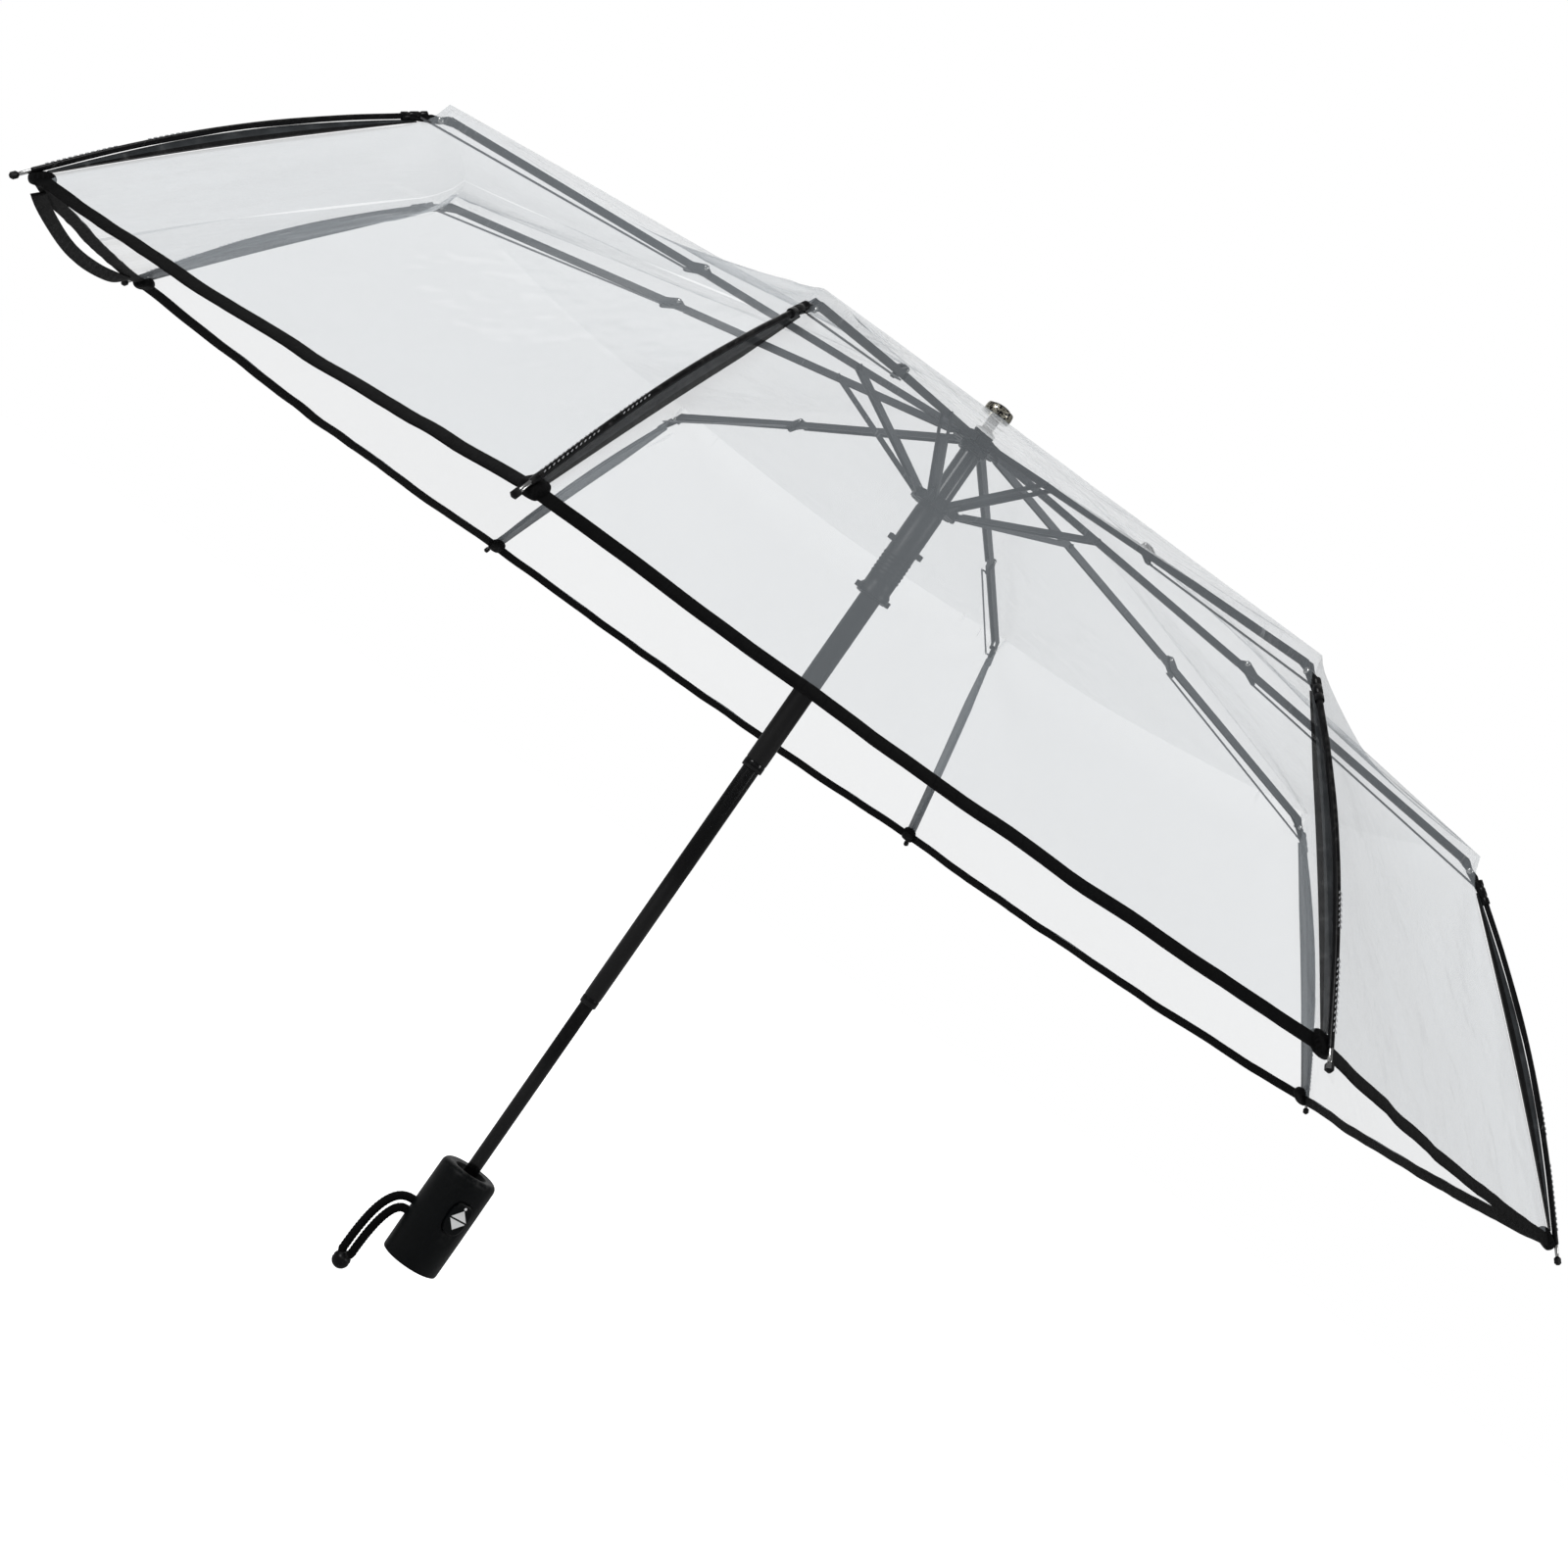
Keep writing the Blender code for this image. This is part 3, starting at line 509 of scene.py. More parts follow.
THREAD = hard_finish(
    "pale_thread", (0.40, 0.41, 0.43), (0.62, 0.63, 0.65), 0.60, scale=2500.0, bump=0.4, scuffs=0.0,
)
print("finishes", len(bpy.data.materials))

# %% Speckled ring: bright metal with dark and warm flecks
SPECKLED = hard_finish(
    "speckled_ring", (0.30, 0.28, 0.22), (0.75, 0.72, 0.62), 0.28,
    metallic=0.9, scale=900.0, bump=0.3, scuffs=0.5,
)
tree = SPECKLED.node_tree
shader = tree.nodes["Principled BSDF"]
flecks = node(tree, "ShaderNodeTexVoronoi", Scale=900.0)
link(tree, tree.nodes["Texture Coordinate"].outputs["Object"], flecks.inputs["Vector"])
cells = node(tree, "ShaderNodeSeparateColor")
link(tree, flecks.outputs["Color"], cells.inputs[0])
dark_cells = maths(tree, "GREATER_THAN", cells.outputs[0], 0.62)
old = shader.inputs["Base Color"].links[0].from_socket
link(tree, mix_colour(tree, dark_cells, old, (0.03, 0.03, 0.03)), shader.inputs["Base Color"])
print(SPECKLED.name, len(tree.nodes), "nodes")


# %% Woven finishes for tape and braid
def woven_finish(name, dark, light, across, along, roughness):
    """Threads are counted across and along the piece's own map; the colour is darker in the weave's low
    gaps, a painted shade.
    """
    made = bpy.data.materials.new(name)
    made.use_nodes = True
    tree = made.node_tree
    shader = tree.nodes["Principled BSDF"]
    own_map = node(tree, "ShaderNodeUVMap").outputs["UV"]
    where = node(tree, "ShaderNodeTexCoord").outputs["Object"]
    weave = place_group(tree, WEAVE, Across=across, Along=along)
    grain = place_group(tree, GRAIN, Scale=1500.0, Patches=90.0)
    link(tree, own_map, weave.inputs["Vector"])
    link(tree, where, grain.inputs["Vector"])
    # Painted shade and highlight: the colour follows the weave's height, darker in the low gaps between
    # threads and lighter on the raised ones; the grain's patches add random tone.
    painted_weave_shade = maths(tree, "MULTIPLY_ADD", weave.outputs["Height"], 0.6, 0.5)
    tone_and_painted_shade = maths(tree, "MULTIPLY", painted_weave_shade, grain.outputs["Patch"])
    link(tree, mix_colour(tree, tone_and_painted_shade, dark, light), shader.inputs["Base Color"])
    rough = node(tree, "ShaderNodeMapRange", To_Min=roughness, To_Max=min(1.0, roughness + 0.2))
    link(tree, grain.outputs["Height"], rough.inputs["Value"])
    link(tree, rough.outputs["Result"], shader.inputs["Roughness"])
    relief = node(tree, "ShaderNodeBump", Strength=0.6, Distance=0.0003)
    link(tree, weave.outputs["Height"], relief.inputs["Height"])
    link(tree, relief.outputs["Normal"], shader.inputs["Normal"])
    shader.inputs["Specular IOR Level"].default_value = 0.12
    return made


TAPE = woven_finish("woven_tape", (0.0006, 0.0006, 0.0008), (0.0045, 0.0045, 0.005), 9.0, 160.0, 0.50)
BRAID = woven_finish("braided_cord", (0.0005, 0.0005, 0.0006), (0.003, 0.003, 0.0035), 8.0, 30.0, 0.60)
print("woven finishes", TAPE.name, BRAID.name)

# %% [markdown]
# ## Clear film
# The canopy is a thin, slightly greyed plastic film.  Real glass shading would need a wall with two faces
# and many bounces of light; a plain alpha is steadier on so thin a sheet.  Seen square on the film is
# nearly clear, seen edge on it turns milky, and at a glancing angle it is almost opaque, which Layer
# Weight gives.  Where it is pulled over the hinges it crinkles, and a value stored on each corner of the
# mesh tells the finish where those streaks are.  There the film gets a crease bump and a painted
# highlight: a whiter, more opaque film that stands in for the light the crinkles reflect.

# %% Film finish
# The second tint is a painted highlight: the whiter film of the streaks near the hinges, standing in for
# light the crinkles reflect.
FILM_TINT, PAINTED_HIGHLIGHT_TINT = (0.80, 0.87, 0.93), (0.95, 0.96, 0.97)
FILM = bpy.data.materials.new("clear_film")
FILM.use_nodes = True
tree = FILM.node_tree
shader = tree.nodes["Principled BSDF"]
own_map = node(tree, "ShaderNodeUVMap").outputs["UV"]
spread = node(tree, "ShaderNodeMapping")
spread.inputs["Scale"].default_value = (46.0, 5.0, 1.0)
link(tree, own_map, spread.inputs["Vector"])
streaks = node(tree, "ShaderNodeTexNoise", Scale=1.0, Detail=5.0, Roughness=0.6, Distortion=0.6)
link(tree, spread.outputs["Vector"], streaks.inputs["Vector"])
near_hinges = node(tree, "ShaderNodeAttribute", {"attribute_name": "crinkle_and_highlight"}).outputs["Fac"]
bright = node(tree, "ShaderNodeMapRange", From_Min=0.48, From_Max=0.80)
link(tree, streaks.outputs["Fac"], bright.inputs["Value"])
# Painted highlight: where this mask is high the film is whiter and more opaque, for light the crinkles
# reflect; the same mask also raises a real crease bump.
crease_and_highlight_mask = maths(tree, "MULTIPLY", bright.outputs["Result"], near_hinges)
edge_on = node(tree, "ShaderNodeLayerWeight", Blend=0.28).outputs["Facing"]
milky = node(tree, "ShaderNodeMapRange", To_Min=0.17, To_Max=0.42)
link(tree, edge_on, milky.inputs["Value"])
glancing = node(tree, "ShaderNodeMapRange", From_Min=0.60, From_Max=0.92, To_Max=0.9)
link(tree, edge_on, glancing.inputs["Value"])
veil = maths(tree, "MAXIMUM", milky.outputs["Result"], crease_and_highlight_mask)
link(tree, maths(tree, "MAXIMUM", veil, glancing.outputs["Result"]), shader.inputs["Alpha"])
# The streaks' whiter tint is a painted highlight.
link(tree, mix_colour(tree, crease_and_highlight_mask, FILM_TINT, PAINTED_HIGHLIGHT_TINT), shader.inputs["Base Color"])
soft_waves = node(tree, "ShaderNodeTexNoise", Scale=14.0, Detail=3.0)
link(tree, node(tree, "ShaderNodeTexCoord").outputs["Object"], soft_waves.inputs["Vector"])
waves = node(tree, "ShaderNodeBump", Strength=0.35, Distance=0.02)
link(tree, soft_waves.outputs["Fac"], waves.inputs["Height"])
creases = node(tree, "ShaderNodeBump", Strength=0.5, Distance=0.002)
link(tree, crease_and_highlight_mask, creases.inputs["Height"])
link(tree, waves.outputs["Normal"], creases.inputs["Normal"])
link(tree, creases.outputs["Normal"], shader.inputs["Normal"])
film_gloss = node(tree, "ShaderNodeMapRange", To_Min=0.07, To_Max=0.16)
link(tree, soft_waves.outputs["Fac"], film_gloss.inputs["Value"])
link(tree, film_gloss.outputs["Result"], shader.inputs["Roughness"])
shader.inputs["IOR"].default_value = 1.5
print(FILM.name, len(tree.nodes), "nodes")

# %% Finishes for the frame's own nodes
BY_NAME = (
    ("outer_rib", ROD), ("link_rod", WIRE), ("top_rib", STEEL), ("middle_rib", STEEL), ("stretcher", STEEL),
    ("opening_spring", BRIGHT), ("button_spring", BRIGHT),
)
for name, cad_node in frame["nodes"].items():
    finish = next((look for start, look in BY_NAME if name.startswith(start)), PLASTIC)
    for holder in cad_node.material_slots:
        holder.material = finish
print("finish given to", len(frame["nodes"]), "frame nodes")


# %% [markdown]
# ## The canopy's film
# One film is stretched over eight ribs.  Between two ribs it sags a little towards the shaft, so that
# every gore is a shallow saddle.  A single mesh would tear or stay behind when the ribs fold, so it is
# cut along the hinge lines: each rib carries a left and a right half of its top, middle and outer
# stretch.  The cut edges share the same line, so it reads as one sheet.

# %% The film's line over a rib, and its sag
FILM_START = Vector((0.0088, 0.5625))
FILM_KNEE = KNEE + turn_2d(-0.004, 0.0085, (MIDDLE_ANGLE + ROD_ANGLE) / 2)
FILM_ELBOW = FILM_START.lerp(FILM_KNEE, 0.54)
GORE_SAG, RIM_SAG = 0.016, 0.003
EDGE_DROOP = 0.004
RIM_T = 0.96
RIM_U = 2 + RIM_T
KNEE_BLEND = 0.10


def film_line(u):
    """(distance, height) over a rib: u is 0 at the crown, 1 at the elbow, 2 at the knee, 3 at the tip."""
    if u <= 1:
        return FILM_START.lerp(FILM_ELBOW, u)
    if u <= 2:
        return FILM_ELBOW.lerp(FILM_KNEE, u - 1)
    t = u - 2
    return string_point(t).lerp(FILM_KNEE, max(0.0, 1 - t / KNEE_BLEND) ** 2)


def sag(u):
    if u <= 2:
        return GORE_SAG * (u / 2) ** 1.5
    return GORE_SAG + (RIM_SAG - GORE_SAG) * (u - 2) / RIM_T


def in_space(point, angle):
    """From (distance, height) in the plane of a rib at this angle to a point in space."""
    return Vector((point.x * math.cos(angle), point.x * math.sin(angle), point.y))


print("film leaves the crown at", FILM_START[:], "and ends at", film_line(RIM_U)[:])

# %% A point of the film, with the folds that fan out from the hinges
FOLDS = ((1.0, 0.045, 0.0006), (2.0, 0.075, 0.0016))
INNER_STRETCH, OUTER_STRETCH = 0.16, 0.19
SLACK = 0.0022


def folds(u, gore, c, width):
    """Height of the tension folds: they fan out from both knees and both elbows and are nil on the ribs.

    FOLDS holds where on the rib each fan starts, how far it reaches and how high it is.
    """
    total = 0.0
    for at, reach, height in FOLDS:
        for side in (0, 1):
            across = (c if side == 0 else 1 - c) * width
            along = (u - at) * (INNER_STRETCH if u < 2 else OUTER_STRETCH)
            away = math.hypot(across, along)
            fan = math.atan2(along, across + 1e-6)
            phase = 2.1 * gore + 3.7 * side + 5.0 * at
            total += height * math.exp(-away / reach) * min(1.0, across / 0.012) * math.sin(8 * fan + phase)
    slack = SLACK * noise.noise(Vector((3.1 * c + 7 * gore, 2.4 * u, 0.5))) * math.sin(math.pi * c)
    return total + slack * min(1.0, u)


UNDER_CANOPY = Vector((0, 0, 0.33))


def film_point(u, gore, c):
    """c runs from 0 on rib gore to 1 on the next rib; the film sags towards a point on the shaft."""
    radius, height = film_line(u)
    left, right = spoke(gore), spoke(gore + 1)
    start = Vector((radius * math.cos(left), radius * math.sin(left), height))
    end = Vector((radius * math.cos(right), radius * math.sin(right), height))
    point = start.lerp(end, c)
    inward = (UNDER_CANOPY - point).normalized()
    depth = sag(u) * 4 * c * (1 - c) + folds(u, gore, c, (end - start).length)
    return point + inward * depth


def rim_u(c):
    """Where the film's edge lies; it droops a little between two ribs."""
    return RIM_U + EDGE_DROOP * 4 * c * (1 - c) / ROD_LEN


def crinkle_and_highlight(u, c):
    """How crumpled the film is, which the finish turns into a crease bump and painted highlight streaks:
    strongest at the knees, the elbows and the crown.
    """
    near_rib = math.exp(-min(c, 1 - c) / 0.16)
    knee = math.exp(-abs(u - 2) / 0.16) * near_rib
    elbow = 0.6 * math.exp(-abs(u - 1) / 0.12) * near_rib
    crown = 0.75 * math.exp(-u / 0.28)
    rim = 0.35 * math.exp(-(3 - u) / 0.12)
    return min(1.0, knee + elbow + crown + rim)


print("crinkle at the crown", round(crinkle_and_highlight(0, 0), 2), "at a knee", round(crinkle_and_highlight(2, 0), 2))

# %% A film patch: a grid primitive laid onto the surface
def film_patch(name, u_of, c_range, rows, columns, gore, body):
    """Rows run outwards, where u_of says; columns run from c_range[0] to c_range[1] of the gore."""
    deselect()
    bpy.ops.mesh.primitive_grid_add(x_subdivisions=columns, y_subdivisions=rows, size=1)
    patch = bpy.context.object
    # Each corner keeps how crumpled the film is there; the finish makes this a crease bump and a painted
    # highlight, a whiter, more opaque film where the crinkles catch light.
    values = patch.data.attributes.new("crinkle_and_highlight", "FLOAT", "POINT")
    places = []
    for vertex in patch.data.vertices:
        c = c_range[0] + (c_range[1] - c_range[0]) * (vertex.co.x + 0.5)
        u = u_of(vertex.co.y + 0.5, c)
        places.append((gore + c, u))
        values.data[vertex.index].value = crinkle_and_highlight(u, c % 1.0)
        vertex.co = film_point(u, math.floor(gore + c), (gore + c) - math.floor(gore + c))
    for loop in patch.data.loops:
        patch.data.uv_layers[0].data[loop.index].uv = places[loop.vertex_index]
    patch.data.update()
    if patch.data.polygons[0].normal.z < 0:
        patch.data.flip_normals()
    patch.data.shade_smooth()
    return finished(patch, name, body, FILM)


def area_of(piece):
    return sum(face.area for face in piece.data.polygons)


print("one gore's edge", round(2 * CORNER.x * math.sin(SECTOR / 2), 3), "m")

# %% Rib patches: a left and a right half of each stretch, each riding on its rib
CROWN_U = 0.22
STRETCHES = (("top", "top_rib", CROWN_U, 1), ("middle", "middle_rib", 1, 2), ("outer", "outer_rib", 2, 3))
film_pieces = []
outer_halves = {}


def gather_axis(k, low, high, side):
    """Square to the rib's line, in the plane of the gore on that side."""
    angle, beside = spoke(k), spoke(k + side)
    along = in_space(film_line(high) - film_line(low), angle).normalized()
    across = Vector((math.cos(beside) - math.cos(angle), math.sin(beside) - math.sin(angle), 0))
    return (across - across.dot(along) * along).normalized(), in_space(film_line(low), angle)


def declare_film(piece):
    film_pieces.append(piece)


def outward(low, high):
    """The u of a patch's rows; the outer stretch ends on the drooping rim."""
    if high == 3:
        return lambda v, c: low + (rim_u(c) - low) * v
    return lambda v, c: low + (high - low) * v


SIDES = ((1, "left", (0.0, 0.5)), (-1, "right", (0.5, 1.0)))
for k in range(RIBS):
    for side, mark, c_range in SIDES:
        gore = k if side == 1 else k - 1
        for label, body, low, high in STRETCHES:
            rows = 30 if high == 3 else 18
            name = f"film_{label}_{mark}_{k + 1}"
            patch = film_patch(name, outward(low, high), c_range, rows, 16, gore, f"{body}_{k + 1}")
            declare_film(patch)
            if high == 3:
                outer_halves[k, side] = patch
            else:
                axis, anchor = gather_axis(k, low, high, side)
                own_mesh(patch)
print("film halves", len(film_pieces))

# %% Crown patches cover the top hinges, from the shaft out to their rib; they ride on no body
crown_end = film_line(CROWN_U)
for k in range(RIBS):
    patch = film_patch(f"film_crown_{k + 1}", outward(0, CROWN_U), (-0.5, 0.5), 12, 20, k, None)
    declare_film(patch)
    start, end = in_space(film_line(0.02), spoke(k)), in_space(crown_end, spoke(k))
    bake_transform(patch)
washer = turned([(0.0035, 0.5623), (0.0092, 0.5623), (0.0092, 0.5628), (0.0035, 0.5628), (0.0035, 0.5623)])
finished(washer, "film_washer", "upper_shaft", FILM)
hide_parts("canopy")
print("film pieces", len(film_pieces), "of", round(sum(area_of(piece) for piece in film_pieces), 3), "m2")

# %% [markdown]
# ## Rim binding
# A woven tape, folded over the film's edge and sewn, runs round the rim.  A bevelled curve would give it
# a round section; instead a flat loop is swept along the edge, with a little waviness, as tape that is
# sewn onto a stretchy edge always has.

# %% Tape section and sweep
TAPE_W = 0.0070
TAPE_HALF_T = 0.0006
TAPE_WAVE, TAPE_CURL = 0.0011, 0.0007
SECTION = [
    (0.0, 1.0), (0.30, 1.15), (0.65, 1.1), (0.92, 0.8), (1.0, 0.0),
    (0.92, -0.8), (0.65, -1.1), (0.30, -1.15), (0.0, -1.0), (-0.02, 0.0),
]


def rim_frame(gore, c):
    """A point on the film's edge, the way down its slope and the way out of it."""
    u = rim_u(c)
    point = film_point(u, gore, c)
    down = (film_point(u + 0.02, gore, c) - film_point(u - 0.02, gore, c)).normalized()
    c_after, c_before = min(1, c + 0.01), max(0, c - 0.01)
    ahead = film_point(rim_u(c_after), gore, c_after) - film_point(rim_u(c_before), gore, c_before)
    return point, down, ahead.normalized().cross(down).normalized()


def swept_strip(rings, closed_section=True):
    """A grid primitive whose rows are laid onto rings of points."""
    deselect()
    around = len(rings[0])
    columns = around if closed_section else around - 1
    bpy.ops.mesh.primitive_grid_add(x_subdivisions=columns, y_subdivisions=len(rings) - 1)
    strip = bpy.context.object
    per_row = columns + 1
    for vertex in strip.data.vertices:
        row, column = divmod(vertex.index, per_row)
        vertex.co = rings[row][column % around]
    only(strip)
    bpy.ops.object.mode_set(mode="EDIT")
    bpy.ops.mesh.select_all(action="SELECT")
    bpy.ops.mesh.remove_doubles(threshold=1e-6)
    if closed_section:
        bpy.ops.mesh.select_all(action="DESELECT")
        bpy.ops.mesh.select_non_manifold()
        bpy.ops.mesh.fill_holes(sides=0)
        bpy.ops.mesh.select_all(action="SELECT")
        bpy.ops.mesh.normals_make_consistent(inside=False)
    bpy.ops.object.mode_set(mode="OBJECT")
    return settle(strip, 50)


def tape_rings(gore, c_low, c_high, steps=26):
    rings = []
    for i in range(steps + 1):
        c = c_low + (c_high - c_low) * i / steps
        point, down, out = rim_frame(gore, c)
        wave = TAPE_WAVE * noise.noise(Vector((9.0 * (gore + c), 0.3, 1.7))) * min(1.0, 8 * c * (1 - c))
        curl = TAPE_CURL * noise.noise(Vector((21.0 * (gore + c), 4.3, 0.2)))
        rings.append([
            point + down * (TAPE_W * s + curl) + out * (TAPE_HALF_T * t + wave) for s, t in SECTION
        ])
    return rings


for k in range(RIBS):
    for side, mark, c_range in SIDES:
        gore = k if side == 1 else k - 1
        strip = swept_strip(tape_rings(gore, *c_range))
        finished(strip, f"binding_{mark}_{k + 1}", f"outer_rib_{k + 1}", TAPE)
        axis, anchor = gather_axis(k, 2, RIM_U, side)
        for piece in (strip, outer_halves[k, side]):
            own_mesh(piece)
        if k == 0 and side == 1:
            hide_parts("rim_binding")
print("binding halves", 2 * RIBS)

# %% [markdown]
# ## Outer ribs, seam bands and tips
# The outer rib is a thin bowed rod, drawn here as a curve with a round bevel and made a mesh.  A dark
# band and a chain stitch tie the film to it, a bright pin carries the ball at its end, and a sewn pocket
# of tape holds the film's corner.  Each is shaped once along +X and copied to the eight ribs.

# %% Bowed rod with a crimped sleeve at the knee
ROD_R = 0.0014


def curve_rod(points, radius, resolution=3):
    deselect()
    bpy.ops.curve.primitive_bezier_curve_add()
    rod = bpy.context.object
    line = rod.data.splines[0]
    line.bezier_points.add(len(points) - 2)
    for knot, place in zip(line.bezier_points, points):
        knot.co = place
        knot.handle_left_type = "AUTO"
        knot.handle_right_type = "AUTO"
    rod.data.bevel_depth = radius
    rod.data.bevel_resolution = resolution
    rod.data.resolution_u = 6
    rod.data.use_fill_caps = True
    only(rod)
    bpy.ops.object.convert(target="MESH")
    return settle(bpy.context.object)


def aimed(piece, start, end):
    """A piece turned up along +Z is laid from start towards end."""
    along = (end - start).to_track_quat("Z", "Y").to_matrix().to_4x4()
    piece.data.transform(Matrix.Translation(start) @ along)
    return piece


rod = curve_rod([in_rib_plane(rod_point(t)) for t in (0.09, 0.25, 0.5, 0.75, 0.985)], ROD_R)
on_each_rib(rod, "outer_rod", "outer_rib", ROD)
sleeve = turned([
    (0.0016, 0.0), (0.0021, 0.0003), (0.0021, 0.0030), (0.0018, 0.0034), (0.0018, 0.0042), (0.0021, 0.0046),
    (0.0021, 0.0085), (0.0018, 0.0089), (0.0018, 0.0096), (0.0021, 0.0100), (0.0021, 0.0130),
    (0.0015, 0.0133),
], 24)
aimed(sleeve, in_rib_plane(rod_point(0.028)), in_rib_plane(rod_point(0.10)))
on_each_rib(sleeve, "knee_sleeve", "outer_rib", ROD)

# %% Tip pin and ball
pin = turned([(0.0009, 0.0), (0.00095, 0.0004), (0.00095, 0.0062), (0.0007, 0.0066)], 20)
aimed(pin, in_rib_plane(rod_point(0.982)), in_rib_plane(rod_point(1.02)))
on_each_rib(pin, "tip_pin", "outer_rib", BRIGHT)
BALL_R = 0.0014
ball = turned(ball_profile(BALL_R, 12), 24)
aimed(ball, in_rib_plane(rod_point(1.027)), in_rib_plane(rod_point(1.06)))
on_each_rib(ball, "tip_ball", "outer_rib", GLOSS)

# %% Sewn pocket at each corner: a rippled block, rounded by subdivision
POCKET = Vector((0.0092, 0.0078, 0.0048))
POCKET_TILT = math.radians(14)
bpy.ops.mesh.primitive_cube_add(size=1)
pocket = bpy.context.object
bpy.ops.object.mode_set(mode="EDIT")
bpy.ops.mesh.subdivide(number_cuts=3, smoothness=0.6)
bpy.ops.object.mode_set(mode="OBJECT")
for vertex in pocket.data.vertices:
    ripple = 1 + 0.35 * noise.noise(vertex.co * 3.7)
    x, y, z = vertex.co
    vertex.co = Vector((x * POCKET.x, y * POCKET.y * ripple, z * POCKET.z * ripple))
finer = pocket.modifiers.new("Rounded", "SUBSURF")
finer.levels = finer.render_levels = 2
only(pocket)
bpy.ops.object.modifier_apply(modifier=finer.name)
pocket.data.transform(Matrix.Rotation(-ROD_ANGLE - POCKET_TILT, 4, "Y"))
pocket.data.transform(Matrix.Translation(in_rib_plane(film_line(2.965)) - Vector((0.001, 0, 0.0012))))
settle(pocket, 60)
on_each_rib(pocket, "corner_pocket", "outer_rib", TAPE)

# %% Finish of the seam band: grey and ribbed, with a dark hem on both edges
BAND = bpy.data.materials.new("grey_seam_band")
BAND.use_nodes = True
tree = BAND.node_tree
shader = tree.nodes["Principled BSDF"]
ribbed = place_group(tree, WEAVE, Across=5.0, Along=90.0)
patches = place_group(tree, GRAIN, Scale=700.0, Patches=120.0)
own_map = node(tree, "ShaderNodeUVMap").outputs["UV"]
link(tree, own_map, ribbed.inputs["Vector"])
link(tree, node(tree, "ShaderNodeTexCoord").outputs["Object"], patches.inputs["Vector"])
across = node(tree, "ShaderNodeSeparateXYZ")
link(tree, own_map, across.inputs["Vector"])
from_middle = maths(tree, "ABSOLUTE", maths(tree, "SUBTRACT", across.outputs["X"], 0.5))
hem = maths(tree, "GREATER_THAN", from_middle, 0.38)
body_colour = mix_colour(tree, patches.outputs["Patch"], (0.010, 0.012, 0.014), (0.075, 0.082, 0.088))
hemmed = mix_colour(tree, hem, body_colour, (0.001, 0.001, 0.0015))
link(tree, hemmed, shader.inputs["Base Color"])
relief = node(tree, "ShaderNodeBump", Strength=0.5, Distance=0.0003)
link(tree, ribbed.outputs["Height"], relief.inputs["Height"])
link(tree, relief.outputs["Normal"], shader.inputs["Normal"])
shader.inputs["Roughness"].default_value = 0.38
shader.inputs["Alpha"].default_value = 0.95
shader.inputs["Specular IOR Level"].default_value = 0.2
print(BAND.name, len(tree.nodes), "nodes")

# %% The band: an arched sleeve that fills the bow between the film's line and the rod
BAND_HALF_W = 0.0034
BAND_ACROSS = (-1, -0.6, -0.25, 0, 0.25, 0.6, 1)
band_rings = []
for i in range(41):
    t = 0.06 + 0.89 * i / 40
    half_w = BAND_HALF_W * (0.40 + 0.60 * min(1.0, t / 0.30))
    base, crest = string_point(t, 0.0006), rod_point(t, -0.0017)
    band_rings.append([in_rib_plane(base.lerp(crest, 1 - s * s), s * half_w) for s in BAND_ACROSS])
band = swept_strip(band_rings, closed_section=False)
on_each_rib(band, "seam_band", "outer_rib", BAND)

# %% Chain stitch over the rod, in two runs: one stitch is STITCH_T of the rod long
STITCH_T = 0.0135
THREAD_R = 0.00022
stitch = []
for i in [*range(46, 53), *range(58, 71)]:
    t = STITCH_T * i
    start, end = (rod_point(at, 0.0015) for at in (t, t + 0.55 * STITCH_T))
    for lane in (-0.0007, 0.0007):
        deselect()
        bpy.ops.mesh.primitive_cylinder_add(vertices=6, radius=THREAD_R, depth=(end - start).length)
        loop = bpy.context.object
        bpy.ops.object.mode_set(mode="EDIT")
        bpy.ops.mesh.select_all(action="SELECT")
        bpy.ops.mesh.bevel(offset=0.00008, segments=1)
        bpy.ops.object.mode_set(mode="OBJECT")
        middle = in_rib_plane((start + end) / 2, lane)
        slant = in_rib_plane(end) - in_rib_plane(start, -lane * 0.6)
        turn = slant.to_track_quat("Z", "Y").to_matrix().to_4x4()
        loop.data.transform(Matrix.Translation(middle) @ turn)
        stitch.append(loop)
on_each_rib(settle(joined(stitch)), "chain_stitch", "outer_rib", THREAD)

# %% [markdown]
# ## Rivets
# Every rib hinge turns on a rivet.  The frame has the plain pins; what the eye meets is the low domed
# head on each cheek, so heads are turned for both cheeks and the set is copied to the eight ribs.

# %% Rivet heads
HEAD = [
    (0.0015, -0.0002), (0.0016, 0.0), (0.0016, 0.0002), (0.0013, 0.0005), (0.0008, 0.0007), (AXIS, 0.00075),
]


def rivet_pair(place, half_width, size=1.0):
    """Two heads facing outwards on the cheeks of a hinge."""
    heads = []
    for side in (-1, 1):
        head = turned([(max(AXIS, r * size), z) for r, z in HEAD], 20)
        point = in_rib_plane(place, side * half_width)
        heads.append(aimed(head, point, point + Vector((0, side, 0))))
    return heads


pair = joined(rivet_pair(ELBOW, 0.0021, 0.85) + rivet_pair(KNEE, 0.0021, 1.0))
on_each_rib(settle(pair), "rib_rivets", "middle_rib", BRIGHT)
STRUT_REACH = 0.0750
STRUT_END = CROWN + turn_2d(STRUT_REACH, 0, TOP_ANGLE)
pair = joined(rivet_pair(STRUT_END, 0.0031, 0.85))
on_each_rib(settle(pair), "strut_rivets", "stretcher", STEEL)

# %% [markdown]
# ## Shaft, runner and cap
# Three tubes slide into each other.  Their ends are rolled in, which catches a thin line of light.  A
# plain cylinder would lack that line, so each tube is turned from a profile, inner wall and all.  The
# runner gets a smooth sleeve over its plain core, and the cap above the film is a gloss button in a
# speckled ring.

